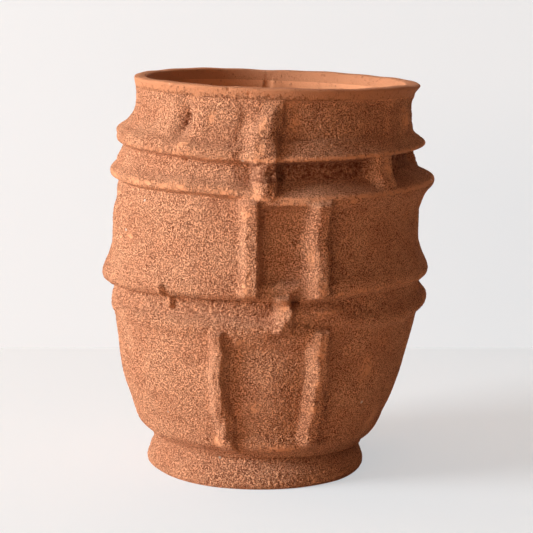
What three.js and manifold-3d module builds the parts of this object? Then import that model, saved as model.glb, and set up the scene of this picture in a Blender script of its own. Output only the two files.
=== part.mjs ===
// A hand-built terracotta vessel with one wide mouth, in millimetres, +Z up, front towards -Y.
// It is raised from stacked clay members: a foot ring and floor, a bowl wall, a waist coil,
// a barrel wall, two shoulder bands with a channel between them, a neck and a rolled rim.
// Strips of clay are pressed up the walls and across the seams, and the panels between them
// are pressed back. Angles run round the axis from the front (0) towards +X (90 degrees).

import * as THREE from 'three';
import * as BufferGeometryUtils from 'three/addons/utils/BufferGeometryUtils.js';
import ManifoldModule from 'manifold-3d';

// ---------------------------------------------------------------- driving dimensions

// Heights of the members, from the ground up.
const FOOT_HEIGHT = 27;
const BOWL_HEIGHT = 133;
const WAIST_HEIGHT = 36;
const BARREL_HEIGHT = 101;
const LOWER_BAND_HEIGHT = 18;
const CHANNEL_HEIGHT = 18;
const UPPER_BAND_HEIGHT = 21;
const NECK_HEIGHT = 35;
const RIM_HEIGHT = 11;

// The rim, and half as much the seam under the neck, slopes down towards the right.
// It also stands a little higher in front than at the back.
const RIM_SLOPE_DEGREES = 1.8;
const NECK_SEAM_SLOPE_DEGREES = 0.9;
const RIM_FRONT_LIFT = 3.2;

// Radii of the plain wall, before its bands, rolls, panels and strips.
const FOOT_RADIUS = 112;
const FOOT_EDGE_ROUND = 3;
const FOOT_NECK_INSET = 7;
const FOOT_BULGE = 12.5;
const FOOT_BULGE_ANGLE = 20;
const FOOT_BULGE_HALF_WIDTH = 80;
const BOWL_FOOT_RADIUS = 113;
const BOWL_LOWER_RADIUS = 136;
const BOWL_UPPER_RADIUS = 149;
const WAIST_LOWER_RADIUS = 156.5;
const WAIST_OVERHANG = 1.5;
const BARREL_RADIUS = 158.5;
const BARREL_TAPER = 1.5;
const CHANNEL_RADIUS = 152.5;
const NECK_FOOT_RADIUS = 148;
const NECK_RADIUS = 142;
const MOUTH_RADIUS = 143.5;

// Sideways place of the vessel's axis: the wall leans right as it rises off its foot.
const FOOT_OFFSET = -12;
const BOWL_FOOT_OFFSET = -6.3;
const BOWL_LOWER_OFFSET = -4.7;
const BOWL_UPPER_OFFSET = -3.8;
const BOWL_TOP_OFFSET = -0.6;
const WAIST_OFFSET = 0;
const SHOULDER_OFFSET = 2;
const NECK_OFFSET = 4;
const MOUTH_OFFSET = 11.5;

// Walls, floor and drain.
const WALL_THICKNESS = 13;
const SEAM_GAP = 0.3;
const FLOOR_THICKNESS = 15;
const FLOOR_RADIUS = 88;
const FLOOR_RECESS = 10;
const FOOT_LEDGE = 14;
const DRAIN_RADIUS = 13;
const DRAIN_CHAMFER = 3;

// Rolls that stand out from the plain wall.
const BOWL_ROLL = 6;
const WAIST_ROLL = 4.5;
const BARREL_ROLL_LEFT = 9.4;
const BARREL_ROLL_RIGHT = 5.6;
const RIM_ROLL = 2.5;
const RIM_ROUND = 3;

// The hands left slow waves in the wall: how deep, and how tall a long and a short one are.
const HAND_WAVE = 1;
const LONG_WAVE_HEIGHT = 258;
const SHORT_WAVE_HEIGHT = 145;

// Shoulder bands: pressed soft on the left, left standing as sharp shelves on the right.
const LOWER_BAND_LEFT_RISE = 6;
const LOWER_BAND_FRONT_RISE = 11;
const LOWER_BAND_RIGHT_RISE = 17;
const LOWER_BAND_UNDERCUT = 0.1;
const LOWER_BAND_FLARE = 15;
const UPPER_BAND_LEFT_RISE = 6.5;
const UPPER_BAND_FRONT_RISE = 9;
const UPPER_BAND_RIGHT_RISE = 13;
const UPPER_BAND_UNDERCUT = 0.5;
const BAND_LIP_SHARE = 0.13;
const SOFT_SIDE_ANGLE = -13;
const SHARP_SIDE_ANGLE = -3;

// Panels pressed back between the strips, deepest at their left: how deep, and from which
// angle to which.
const NECK_PANEL_DEPTH = 6;
const NECK_PANELS = [[2, 54], [130, 168]];
const BARREL_PANEL_DEPTH = 5;
const BARREL_PANELS = [[-3, 15], [22, 66], [118, 146], [206, 240]];
const BOWL_PANEL_DEPTH = 4;
const BOWL_PANELS = [[-13, -4], [26, 52], [116, 138], [213, 244]];
const PANEL_EDGE_ANGLE = 2;
const PANEL_RIGHT_SHARE = 0.25;

// Strips of clay: thin on the left edge, thick and sheer on the right edge.
const STRIP_LEFT_EDGE = 1.6;
const STRIP_RIGHT_EDGE = 3.6;
const BARREL_STRIP_WIDTH = 21;
const BARREL_STRIP_RISE = 6;
const BOWL_STRIP_WIDTH = 19;
const BOWL_STRIP_RISE = 6;
const WAIST_STRIP_WIDTH = 18;
const WAIST_STRIP_RISE = 6;
const NECK_STRIP_WIDTH = 15;
const NECK_STRIP_RISE = 5;
const SEAM_STRIP_WIDTH = 8;
const SEAM_STRIP_RISE = 4;
const SEAM_STRIP_LENGTH = 28;
const STRIP_END_CLEARANCE = 3;
const STRIP_END_TAPER = 0.6;
const BACK_SINK = 2;

// Straps lie over both shoulder bands; bridges fill the channel between the bands.
const STRAP_WIDTH = 26;
const STRAP_RISE = 8.5;
const STRAP_TOP_RISE = 0;
const STRAP_CROWN = 10;
const STRAP_FOOT_DROP = 2;
const BRIDGE_WIDTH = 21;
const BRIDGE_RISE = 9;
const BRIDGE_FOOT_DROP = 6;

// Fineness of the facets.
const COLUMNS = 60;
const STRIP_COLUMNS = 4;
const STRIP_ROW_HEIGHT = 16;
const STRAP_ROW_HEIGHT = 9;
const MERGE_DISTANCE = 1e-4;

// ---------------------------------------------------------------- heights worked out

const FOOT_TOP = FOOT_HEIGHT;
const FOOT_NECK_RADIUS = BOWL_FOOT_RADIUS - FOOT_NECK_INSET;
const WAIST_UPPER_RADIUS = BARREL_RADIUS + WAIST_OVERHANG;
const BARREL_TOP_RADIUS = BARREL_RADIUS - BARREL_TAPER;
const BOWL_TOP = FOOT_TOP + BOWL_HEIGHT;
const WAIST_TOP = BOWL_TOP + WAIST_HEIGHT;
const BARREL_TOP = WAIST_TOP + BARREL_HEIGHT;
const LOWER_BAND_TOP = BARREL_TOP + LOWER_BAND_HEIGHT;
const CHANNEL_TOP = LOWER_BAND_TOP + CHANNEL_HEIGHT;
const UPPER_BAND_TOP = CHANNEL_TOP + UPPER_BAND_HEIGHT;
const NECK_TOP = UPPER_BAND_TOP + NECK_HEIGHT;
const RIM_TOP = NECK_TOP + RIM_HEIGHT;

const { clamp, degToRad, euclideanModulo, lerp, radToDeg, smoothstep } = THREE.MathUtils;

// ---------------------------------------------------------------- plain wall

// A smooth value between stations [height, value], held level beyond the first and last.
function throughStations(stations, height) {
  const last = stations.length - 1;
  let i = 0;
  while (i < last - 1 && height > stations[i + 1][0]) i += 1;
  const [h0, v0] = stations[Math.max(i - 1, 0)];
  const [h1, v1] = stations[i];
  const [h2, v2] = stations[i + 1];
  const [h3, v3] = stations[Math.min(i + 2, last)];
  const span = h2 - h1;
  const t = clamp((height - h1) / span, 0, 1);
  const slope1 = ((v2 - v0) / (h2 - h0)) * span;
  const slope2 = ((v3 - v1) / (h3 - h1)) * span;
  const near = (1 + 2 * t) * (1 - t) ** 2;
  return near * v1 + (1 - near) * v2 + t * (1 - t) ** 2 * slope1 - t * t * (1 - t) * slope2;
}

const PLAIN_RADII = [
  [FOOT_TOP, BOWL_FOOT_RADIUS],
  [FOOT_TOP + BOWL_HEIGHT / 3, BOWL_LOWER_RADIUS],
  [FOOT_TOP + (BOWL_HEIGHT * 2) / 3, BOWL_UPPER_RADIUS],
  [BOWL_TOP, WAIST_LOWER_RADIUS],
  [WAIST_TOP, WAIST_UPPER_RADIUS],
  [WAIST_TOP + BARREL_HEIGHT / 2, BARREL_RADIUS],
  [BARREL_TOP, BARREL_TOP_RADIUS],
  [LOWER_BAND_TOP + CHANNEL_HEIGHT / 2, CHANNEL_RADIUS],
  [UPPER_BAND_TOP, NECK_FOOT_RADIUS],
  [UPPER_BAND_TOP + NECK_HEIGHT / 2, NECK_RADIUS],
  [RIM_TOP, MOUTH_RADIUS],
];

const AXIS_OFFSETS = [
  [FOOT_TOP, BOWL_FOOT_OFFSET],
  [FOOT_TOP + BOWL_HEIGHT / 3, BOWL_LOWER_OFFSET],
  [FOOT_TOP + (BOWL_HEIGHT * 2) / 3, BOWL_UPPER_OFFSET],
  [BOWL_TOP, BOWL_TOP_OFFSET],
  [BOWL_TOP + WAIST_HEIGHT / 2, WAIST_OFFSET],
  [BARREL_TOP, SHOULDER_OFFSET],
  [UPPER_BAND_TOP, NECK_OFFSET],
  [RIM_TOP, MOUTH_OFFSET],
];

const SLOPES = [
  [CHANNEL_TOP, 0],
  [UPPER_BAND_TOP, Math.tan(degToRad(NECK_SEAM_SLOPE_DEGREES))],
  [NECK_TOP, Math.tan(degToRad(RIM_SLOPE_DEGREES))],
  [RIM_TOP, Math.tan(degToRad(RIM_SLOPE_DEGREES))],
];

const plainRadius = (level) => throughStations(PLAIN_RADII, level);
const axisOffset = (level) => throughStations(AXIS_OFFSETS, level);
const slopeAt = (level) => throughStations(SLOPES, level);
const insideRadius = (level) => plainRadius(level) - WALL_THICKNESS;

// How much higher the neck and the rim stand in front.
function frontLift(angle, level) {
  return RIM_FRONT_LIFT * smoothstep(level, UPPER_BAND_TOP, RIM_TOP) * ((1 + Math.cos(angle)) / 2);
}

// The point at an angle and radius on a level; the upper levels slope down to the right.
// Both edges of a seam take their slope and lift from its middle level.
function wallPoint(angle, radius, level, middleLevel = level) {
  const x = axisOffset(level) + radius * Math.sin(angle);
  const z = level - slopeAt(middleLevel) * x + frontLift(angle, middleLevel);
  return new THREE.Vector3(x, -radius * Math.cos(angle), z);
}

// ---------------------------------------------------------------- relief of the members

// 0 on the soft left side, 1 on the sharp right side, changing over under the straps.
function sharpShare(angle) {
  const soft = Math.sin(degToRad(SOFT_SIDE_ANGLE));
  const sharp = Math.sin(degToRad(SHARP_SIDE_ANGLE));
  return smoothstep(Math.sin(angle), soft, sharp);
}

// A slow unevenness left by the hands.
function handWave(angle, level) {
  const long = Math.sin(3 * angle + (2 * Math.PI * level) / LONG_WAVE_HEIGHT);
  const short = Math.sin(5 * angle - (2 * Math.PI * level) / SHORT_WAVE_HEIGHT);
  return HAND_WAVE * (0.6 * long + 0.4 * short);
}

// 1 inside the given stretch, 0 outside it, over an edge of the given width.
function within(value, from, to, edge) {
  return smoothstep(value, from - edge, from + edge) * (1 - smoothstep(value, to - edge, to + edge));
}

// 1 at a panel's left, less towards its right, 0 outside every panel.
function panelShare(panels, angle) {
  const turn = euclideanModulo(radToDeg(angle), 360);
  const shares = panels.flatMap(([from, to]) => [turn, turn - 360].map((at) => {
    const across = clamp((at - from) / (to - from), 0, 1);
    return within(at, from, to, PANEL_EDGE_ANGLE) * lerp(1, PANEL_RIGHT_SHARE, across);
  }));
  return Math.max(0, ...shares);
}

const sharpRise = (angle, frontRise, rightRise) => lerp(
  frontRise, rightRise, Math.max(0, Math.sin(angle)) ** 2);

const bowlRoll = (angle, share) => BOWL_ROLL
  * smoothstep(share, -0.02, 0.06) * (1 - smoothstep(share, 0.07, 0.4));
const waistRoll = (angle, share) => WAIST_ROLL * Math.sin(Math.PI * lerp(0.12, 1, share));
const noRoll = () => 0;

// The barrel has a round roll at its foot, and on the sharp side its top flares out into the
// lower band.
function barrelRoll(angle, share) {
  const footRise = lerp(BARREL_ROLL_LEFT, BARREL_ROLL_RIGHT, (1 + Math.sin(angle)) / 2);
  const foot = smoothstep(share, -0.06, 0.07) * (1 - smoothstep(share, 0.1, 0.36));
  const topRise = sharpShare(angle) * sharpRise(angle, LOWER_BAND_FRONT_RISE, LOWER_BAND_RIGHT_RISE);
  const top = 1 - clamp(((1 - share) * BARREL_HEIGHT) / LOWER_BAND_FLARE, 0, 1);
  return footRise * foot + topRise * (1 - LOWER_BAND_UNDERCUT) * top;
}

// On the sharp side a band is a shelf that slopes out and down to its lip, then cuts back in.
// On the soft side it is a low round roll.
function bandRoll(angle, share, leftRise, rightRise, undercut) {
  const shelf = share < BAND_LIP_SHARE
    ? lerp(1 - undercut, 1, share / BAND_LIP_SHARE)
    : (1 - share) / (1 - BAND_LIP_SHARE);
  const roll = Math.sin(Math.PI * lerp(0.1, 0.9, share));
  return lerp(leftRise * roll, rightRise * shelf, sharpShare(angle));
}

const lowerBandRoll = (angle, share) => bandRoll(
  angle, share, LOWER_BAND_LEFT_RISE,
  sharpRise(angle, LOWER_BAND_FRONT_RISE, LOWER_BAND_RIGHT_RISE), LOWER_BAND_UNDERCUT);
const upperBandRoll = (angle, share) => bandRoll(
  angle, share, UPPER_BAND_LEFT_RISE,
  sharpRise(angle, UPPER_BAND_FRONT_RISE, UPPER_BAND_RIGHT_RISE), UPPER_BAND_UNDERCUT);

// The rim is rolled out a little and wiped round over its top edge.
function rimRoll(angle, share) {
  const overEdge = Math.max(0, RIM_ROUND - (1 - share) * RIM_HEIGHT) / RIM_ROUND;
  const round = RIM_ROUND * (1 - Math.sqrt(1 - (0.95 * overEdge) ** 2));
  return RIM_ROLL * smoothstep(share, 0, 0.4) - round;
}

const noPanels = { depth: 0, at: [], from: 0, to: 1 };

// Every ring is a grid of columns round the axis, and rows at these shares of its height.
const RINGS = [
  {
    name: 'bowl_wall', low: FOOT_TOP, high: BOWL_TOP, roll: bowlRoll,
    panels: { depth: BOWL_PANEL_DEPTH, at: BOWL_PANELS, from: 0.17, to: 0.95 },
    rows: [0, 0.05, 0.12, 0.22, 0.34, 0.47, 0.6, 0.73, 0.87, 1], insideRows: 4,
  },
  {
    name: 'waist_coil', low: BOWL_TOP, high: WAIST_TOP, roll: waistRoll,
    panels: noPanels, rows: [0, 0.18, 0.4, 0.65, 0.85, 1], insideRows: 1,
  },
  {
    name: 'barrel_wall', low: WAIST_TOP, high: BARREL_TOP, roll: barrelRoll,
    panels: { depth: BARREL_PANEL_DEPTH, at: BARREL_PANELS, from: 0.2, to: 0.92 },
    rows: [0, 0.05, 0.11, 0.19, 0.28, 0.38, 0.62, 0.85, 0.93, 1], insideRows: 3,
  },
  {
    name: 'lower_shoulder_band', low: BARREL_TOP, high: LOWER_BAND_TOP, roll: lowerBandRoll,
    panels: noPanels, rows: [0, BAND_LIP_SHARE, 0.42, 0.7, 1], insideRows: 1,
  },
  {
    name: 'channel_wall', low: LOWER_BAND_TOP, high: CHANNEL_TOP, roll: noRoll,
    panels: noPanels, rows: [0, 0.5, 1], insideRows: 1,
  },
  {
    name: 'upper_shoulder_band', low: CHANNEL_TOP, high: UPPER_BAND_TOP, roll: upperBandRoll,
    panels: noPanels, rows: [0, BAND_LIP_SHARE, 0.42, 0.7, 1], insideRows: 1,
  },
  {
    name: 'neck_wall', low: UPPER_BAND_TOP, high: NECK_TOP, roll: noRoll,
    panels: { depth: NECK_PANEL_DEPTH, at: NECK_PANELS, from: 0, to: 1 },
    rows: [0, 0.25, 0.6, 0.85, 1], insideRows: 2,
  },
  {
    name: 'rim_coil', low: NECK_TOP, high: RIM_TOP, roll: rimRoll,
    panels: noPanels, rows: [0, 0.4, 0.64, 0.82, 0.93, 1], insideRows: 2,
  },
];

// ---------------------------------------------------------------- ring-shaped members

// Outer radius before the panels are pressed back: what a strip stands on.
function standingRadius(ring, angle, share) {
  const level = lerp(ring.low, ring.high, share);
  return plainRadius(level) + ring.roll(angle, share) + handWave(angle, level);
}

function outsideRadius(ring, angle, share) {
  const { depth, at, from, to } = ring.panels;
  const pressed = depth * panelShare(at, angle) * within(share, from, to, 0.04);
  return standingRadius(ring, angle, share) - pressed;
}

// A closed skin from loops of points, each joined to the next and the last to the first.
function closedLoft(loops) {
  const columns = loops[0].length;
  const positions = loops.flat().flatMap((p) => [p.x, p.y, p.z]);
  const index = [];
  loops.forEach((loop, row) => {
    const here = row * columns;
    const there = ((row + 1) % loops.length) * columns;
    loop.forEach((point, i) => {
      const j = (i + 1) % columns;
      index.push(here + i, here + j, there + j, here + i, there + j, there + i);
    });
  });
  return indexed(positions, index);
}

function indexed(positions, index) {
  const geometry = new THREE.BufferGeometry();
  geometry.setAttribute('position', new THREE.Float32BufferAttribute(positions, 3));
  geometry.setIndex(index);
  return geometry;
}

const columnAngles = Array.from({ length: COLUMNS }, (_, i) => (2 * Math.PI * i) / COLUMNS);

// `swell` grows the ring on every outer face, to cut a seat that keeps a gap.
function ringGeometry(ring, swell = 0) {
  const low = ring.low + SEAM_GAP / 2;
  const high = ring.high - (ring.high === RIM_TOP ? 0 : SEAM_GAP / 2);
  const endSwell = { 0: -swell, 1: swell };
  const loop = (share, radiusAt) => {
    const level = lerp(low, high, share) + (endSwell[share] ?? 0);
    const middleLevel = lerp(ring.low, ring.high, share);
    return columnAngles.map((angle) => wallPoint(angle, radiusAt(angle, share), level, middleLevel));
  };
  const outside = (angle, share) => outsideRadius(ring, angle, share) + swell;
  const inside = (angle, share) => insideRadius(lerp(ring.low, ring.high, share));
  const insideShares = Array.from({ length: ring.insideRows + 1 }, (_, i) => 1 - i / ring.insideRows);
  return closedLoft([
    ...ring.rows.map((share) => loop(share, outside)),
    ...insideShares.map((share) => loop(share, inside)),
  ]);
}

// ---------------------------------------------------------------- foot ring and floor

// How far the foot bulges forwards at an angle.
function footBulge(angle) {
  const fromMiddle = euclideanModulo(radToDeg(angle) - FOOT_BULGE_ANGLE + 180, 360) - 180;
  const share = clamp(fromMiddle / FOOT_BULGE_HALF_WIDTH, -1, 1);
  return FOOT_BULGE * Math.cos((Math.PI / 2) * share) ** 2;
}

// A closed profile turned round the foot's axis. Each of its corners is [radius, level], and
// may have a third value, the share of the foot's bulge that it takes.
function turned(profile) {
  return closedLoft(profile.map(([radius, level, bulge = 0]) => columnAngles.map((angle) => {
    const reach = radius + bulge * footBulge(angle);
    return new THREE.Vector3(FOOT_OFFSET + reach * Math.sin(angle), -reach * Math.cos(angle), level);
  })));
}

// The foot ring carries the floor on an inner ledge, so the drain stands clear of the ground.
function footRingGeometry() {
  const ledgeRadius = FLOOR_RADIUS - FOOT_LEDGE;
  const seatRadius = FLOOR_RADIUS + SEAM_GAP;
  const top = FOOT_TOP - SEAM_GAP / 2;
  const outerRadius = FOOT_RADIUS + FOOT_EDGE_ROUND / 2;
  return turned([
    [ledgeRadius, 0],
    [FOOT_RADIUS - FOOT_EDGE_ROUND / 2, 0, 1],
    [outerRadius, FOOT_EDGE_ROUND, 1],
    [outerRadius, FOOT_HEIGHT * 0.35, 1],
    [lerp(FOOT_NECK_RADIUS, outerRadius, 0.45), FOOT_HEIGHT * 0.65, 0.7],
    [FOOT_NECK_RADIUS, top, 0.4],
    [seatRadius, top],
    [seatRadius, FLOOR_RECESS],
    [ledgeRadius, FLOOR_RECESS],
  ]);
}

function floorSlabGeometry() {
  const low = FLOOR_RECESS + SEAM_GAP;
  const high = FLOOR_RECESS + FLOOR_THICKNESS;
  return turned([
    [DRAIN_RADIUS, low],
    [FLOOR_RADIUS, low],
    [FLOOR_RADIUS, high],
    [DRAIN_RADIUS + DRAIN_CHAMFER, high],
    [DRAIN_RADIUS, high - DRAIN_CHAMFER],
  ]);
}

// ---------------------------------------------------------------- solids

const wasm = await ManifoldModule();
wasm.setup();

function toSolid(geometry) {
  const bare = geometry.clone();
  bare.deleteAttribute('normal');
  bare.deleteAttribute('uv');
  const merged = BufferGeometryUtils.mergeVertices(bare, MERGE_DISTANCE);
  return new wasm.Manifold(new wasm.Mesh({
    numProp: 3,
    vertProperties: merged.attributes.position.array,
    triVerts: new Uint32Array(merged.index.array),
  }));
}

function toGeometry(solid) {
  const mesh = solid.getMesh();
  return indexed(mesh.vertProperties, Array.from(mesh.triVerts));
}

// ---------------------------------------------------------------- strips, straps and bridges

// A strip that stands on one ring, from end to end of it or over a part of its height.
function ringStrip(ringName, prefix, width, rise, [place, lowAngle, highAngle, part = [0, 1]]) {
  const ring = RINGS.find(({ name }) => name === ringName);
  const low = ring.low + STRIP_END_CLEARANCE;
  const high = ring.high - STRIP_END_CLEARANCE;
  const base = (angle, level) => standingRadius(ring, angle, (level - ring.low) / (ring.high - ring.low));
  return {
    name: `${prefix}_${place}`,
    low: lerp(low, high, part[0]),
    high: lerp(low, high, part[1]),
    lowAngle,
    highAngle,
    width,
    rise,
    base,
    sink: ring.panels.depth + BACK_SINK,
  };
}

const bowlStrip = (place) => ringStrip(
  'bowl_wall', 'bowl_strip', BOWL_STRIP_WIDTH, BOWL_STRIP_RISE, place);
const waistStrip = (place) => ringStrip(
  'waist_coil', 'waist_strip', WAIST_STRIP_WIDTH, WAIST_STRIP_RISE, place);
const barrelStrip = (place) => ringStrip(
  'barrel_wall', 'barrel_strip', BARREL_STRIP_WIDTH, BARREL_STRIP_RISE, place);
const neckStrip = (place) => ringStrip(
  'neck_wall', 'neck_strip', NECK_STRIP_WIDTH, NECK_STRIP_RISE, place);

// A strap hangs from under the rim over both bands, and ends on the barrel wall.
function strap([place, lowAngle, highAngle]) {
  const low = BARREL_TOP - STRAP_FOOT_DROP;
  const high = NECK_TOP - STRIP_END_CLEARANCE;
  const base = (angle, level) => plainRadius(level)
    + lerp(STRAP_RISE, STRAP_TOP_RISE, smoothstep(level, CHANNEL_TOP, high));
  return {
    name: `shoulder_strap_${place}`,
    low,
    high,
    lowAngle,
    highAngle,
    rowHeight: STRAP_ROW_HEIGHT,
    width: STRAP_WIDTH,
    rise: STRAP_CROWN,
    base,
    sink: NECK_PANEL_DEPTH + BACK_SINK,
  };
}

// A bridge runs from the shelf of the lower band across the channel to the upper band.
function bridge([place, lowAngle, highAngle]) {
  return {
    name: `channel_bridge_${place}`,
    low: LOWER_BAND_TOP - BRIDGE_FOOT_DROP,
    high: CHANNEL_TOP - SEAM_GAP,
    lowAngle,
    highAngle,
    width: BRIDGE_WIDTH,
    rise: STRIP_RIGHT_EDGE,
    base: (angle, level) => plainRadius(level) + BRIDGE_RISE,
    sink: BACK_SINK,
  };
}

// A narrow strip pinched over the seam between the barrel wall and the waist coil.
function seamStrip([place, angle]) {
  return {
    name: `seam_strip_${place}`,
    low: WAIST_TOP - SEAM_STRIP_LENGTH / 2,
    high: WAIST_TOP + SEAM_STRIP_LENGTH / 2,
    lowAngle: angle,
    highAngle: angle,
    width: SEAM_STRIP_WIDTH,
    rise: SEAM_STRIP_RISE,
    base: (at, level) => plainRadius(level) + BARREL_ROLL_LEFT,
    sink: BACK_SINK,
  };
}

// Each place gives a name, the angles at the strip's lower and upper end, and its part of the ring.
const STRIPS = [
  ...[
    ['front_left', -17, -16.8], ['front_right', 25.4, 22], ['right', 112, 109],
    ['back_right', 141, 146], ['back_left', -151, -154], ['left', -112, -109],
  ].map(bowlStrip),
  ...[['front', 6.7, 6.7], ['right', 110, 107], ['back', -171, -168], ['left', -112, -110]].map(waistStrip),
  ...[
    ['front_left', -6.8, -7], ['front_right', 18.6, 18.8], ['right', 112, 114],
    ['back_right', 152, 149], ['back_left', -158, -160], ['left', -116, -113],
  ].map(barrelStrip),
  ...[
    ['front_left', -40, -39, [0.1, 1]], ['right', 64, 64], ['back_right', 128, 126],
    ['left', -112, -110],
  ].map(neckStrip),
  ...[['front', -0.6, -2.6], ['back', -172.4, -175]].map(strap),
  ...[['front_right', 46, 46], ['right', 110, 112]].map(bridge),
  ...[['front_left', -37.6], ['back', 122]].map(seamStrip),
];

// Height of the outer face over the strip's base, from the left edge (-0.5) to the right (0.5).
function crown(across, rise) {
  return lerp(STRIP_LEFT_EDGE, STRIP_RIGHT_EDGE, across + 0.5)
    + (rise - STRIP_LEFT_EDGE) * 0.6 * Math.cos(Math.PI * across);
}

// A grid of points over the strip: its crowned face, or its back when `sunk`.
function stripGrid(strip, sunk) {
  const rows = Math.max(2, Math.round((strip.high - strip.low) / (strip.rowHeight ?? STRIP_ROW_HEIGHT)));
  return Array.from({ length: rows + 1 }, (_, row) => {
    const along = row / rows;
    const level = lerp(strip.low, strip.high, along);
    const middle = degToRad(lerp(strip.lowAngle, strip.highAngle, along));
    const taper = row === 0 || row === rows ? STRIP_END_TAPER : 1;
    return Array.from({ length: STRIP_COLUMNS + 1 }, (__, column) => {
      const across = column / STRIP_COLUMNS - 0.5;
      const angle = middle + (across * strip.width) / plainRadius(level);
      const face = strip.base(angle, level) + crown(across, strip.rise) * taper;
      return wallPoint(angle, sunk ? plainRadius(level) - strip.sink : face, level);
    });
  });
}

// Joins an outer and an inner grid of points into one closed skin.
function closedShell(outer, inner) {
  const rows = outer.length;
  const columns = outer[0].length;
  const positions = [...outer, ...inner].flat().flatMap((p) => [p.x, p.y, p.z]);
  const out = (row, column) => row * columns + column;
  const back = (row, column) => (rows + row) * columns + column;
  const index = [];
  const quad = (a, b, c, d) => index.push(a, b, c, a, c, d);
  for (let row = 0; row < rows - 1; row += 1) {
    const up = row + 1;
    for (let column = 0; column < columns - 1; column += 1) {
      const next = column + 1;
      quad(out(row, column), out(row, next), out(up, next), out(up, column));
      quad(back(row, column), back(up, column), back(up, next), back(row, next));
    }
    quad(back(row, 0), out(row, 0), out(up, 0), back(up, 0));
    quad(out(row, columns - 1), back(row, columns - 1), back(up, columns - 1), out(up, columns - 1));
  }
  for (let column = 0; column < columns - 1; column += 1) {
    const next = column + 1;
    quad(back(0, column), back(0, next), out(0, next), out(0, column));
    quad(out(rows - 1, column), out(rows - 1, next), back(rows - 1, next), back(rows - 1, column));
  }
  return indexed(positions, index);
}

// The strip's back is cut to every member that it lies on, one gap clear of their facets.
function seatedStrip(strip) {
  const touches = (ring) => ring.high + SEAM_GAP > strip.low && ring.low - SEAM_GAP < strip.high;
  const members = RINGS.filter(touches);
  const blank = toSolid(closedShell(stripGrid(strip, false), stripGrid(strip, true)));
  return members.reduce((solid, ring) => solid.subtract(toSolid(ringGeometry(ring, SEAM_GAP))), blank);
}

// ---------------------------------------------------------------- materials and scene

const terracotta = (color, roughness) => new THREE.MeshStandardMaterial({ color, roughness, metalness: 0 });
const ROUGH_CLAY = terracotta('#bd7853', 0.95);
const WIPED_CLAY = terracotta('#cf8c5f', 0.8);
const STRIP_CLAY = terracotta('#c6835b', 0.9);
const FLOOR_CLAY = terracotta('#b06c49', 0.92);

function named(name, geometry, material) {
  const mesh = new THREE.Mesh(geometry, material);
  mesh.name = name;
  return mesh;
}

const vessel = new THREE.Group();
vessel.name = 'vessel';
vessel.add(named('foot_ring', footRingGeometry(), ROUGH_CLAY));
vessel.add(named('floor_slab', floorSlabGeometry(), FLOOR_CLAY));
RINGS.forEach((ring) => {
  vessel.add(named(ring.name, ringGeometry(ring), ring.name === 'rim_coil' ? WIPED_CLAY : ROUGH_CLAY));
});
STRIPS.forEach((strip) => {
  vessel.add(named(strip.name, toGeometry(seatedStrip(strip)), STRIP_CLAY));
});

// The origin is the middle of the whole vessel's box, on the ground.
const box = new THREE.Box3().setFromObject(vessel);
const middle = box.getCenter(new THREE.Vector3());
vessel.position.set(-middle.x, -middle.y, -box.min.z);

const planter = new THREE.Group();
planter.name = 'planter';
planter.add(vessel);
planter.updateMatrixWorld(true);

export default planter;
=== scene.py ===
# %% [markdown]
# # A hand-built terracotta planter
# The pot is one wide-mouthed vessel of coarse red clay on a flared foot. It was raised by hand from
# stacked members: a foot, a bowl, a coil at the waist, a barrel, two shoulder bands with a channel
# between them, a neck and a wiped rim. Strips of clay were pressed up its walls, and the panels between
# them were pushed back with the thumb. Each member is a piece of its own here, spun as a plain tube and
# then pressed to the real shape, so every mark of the hand is a formula that can be read and changed.

import math

import bmesh
import bpy
import numpy as np
from mathutils import Matrix, Vector, noise


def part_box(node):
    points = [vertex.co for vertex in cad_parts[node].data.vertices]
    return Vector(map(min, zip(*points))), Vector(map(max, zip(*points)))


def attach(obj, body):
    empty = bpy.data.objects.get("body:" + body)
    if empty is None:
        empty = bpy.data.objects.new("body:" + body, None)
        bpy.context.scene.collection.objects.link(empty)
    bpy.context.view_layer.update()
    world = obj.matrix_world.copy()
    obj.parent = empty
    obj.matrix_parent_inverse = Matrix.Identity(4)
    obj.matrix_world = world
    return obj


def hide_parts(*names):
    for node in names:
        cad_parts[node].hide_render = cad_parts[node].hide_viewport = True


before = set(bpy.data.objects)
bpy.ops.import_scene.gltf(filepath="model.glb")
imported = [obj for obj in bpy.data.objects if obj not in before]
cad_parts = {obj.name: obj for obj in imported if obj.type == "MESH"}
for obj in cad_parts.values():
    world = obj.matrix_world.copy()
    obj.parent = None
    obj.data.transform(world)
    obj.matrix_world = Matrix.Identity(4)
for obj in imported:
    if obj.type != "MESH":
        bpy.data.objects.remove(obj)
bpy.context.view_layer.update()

# %% [markdown]
# ## Where the pot stands
# The measures below are millimetres in the pot's own frame: x to the right and y to the back of the
# upright line that the photograph's middle runs through, and z up from the ground. The foot stands
# 12 mm to the left of that line, and the floor slab is round about the foot's middle, so the solid slab
# tells how far the whole frame is moved.

# %% From the pot's own frame to the shared one
MM = 0.001
FOOT_X = -12.0

slab_low, slab_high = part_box("floor_slab")
MOVED_X = (slab_low.x + slab_high.x) / 2 / MM - FOOT_X
MOVED_Y = (slab_low.y + slab_high.y) / 2 / MM
print(f"the pot's own frame is moved by {MOVED_X:.2f} and {MOVED_Y:.2f} mm")

# %% [markdown]
# ## Lines that bend smoothly
# A potter's profile is a few sure marks joined by a smooth curve, and so is each line here. `through`
# joins stations of height and value. `around` does the same round the pot, for values that change with
# the angle from the front, where 0 is the front, 90 the right and -90 the left. A drawn curve could hold
# the same line, but a function can be asked for its value at every vertex.

# %% Smooth steps and lines
def smooth(value, start, end):
    """0 before start, 1 after end, and an even S between them."""
    t = np.clip((value - start) / (end - start), 0.0, 1.0)
    return t * t * (3 - 2 * t)


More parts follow.
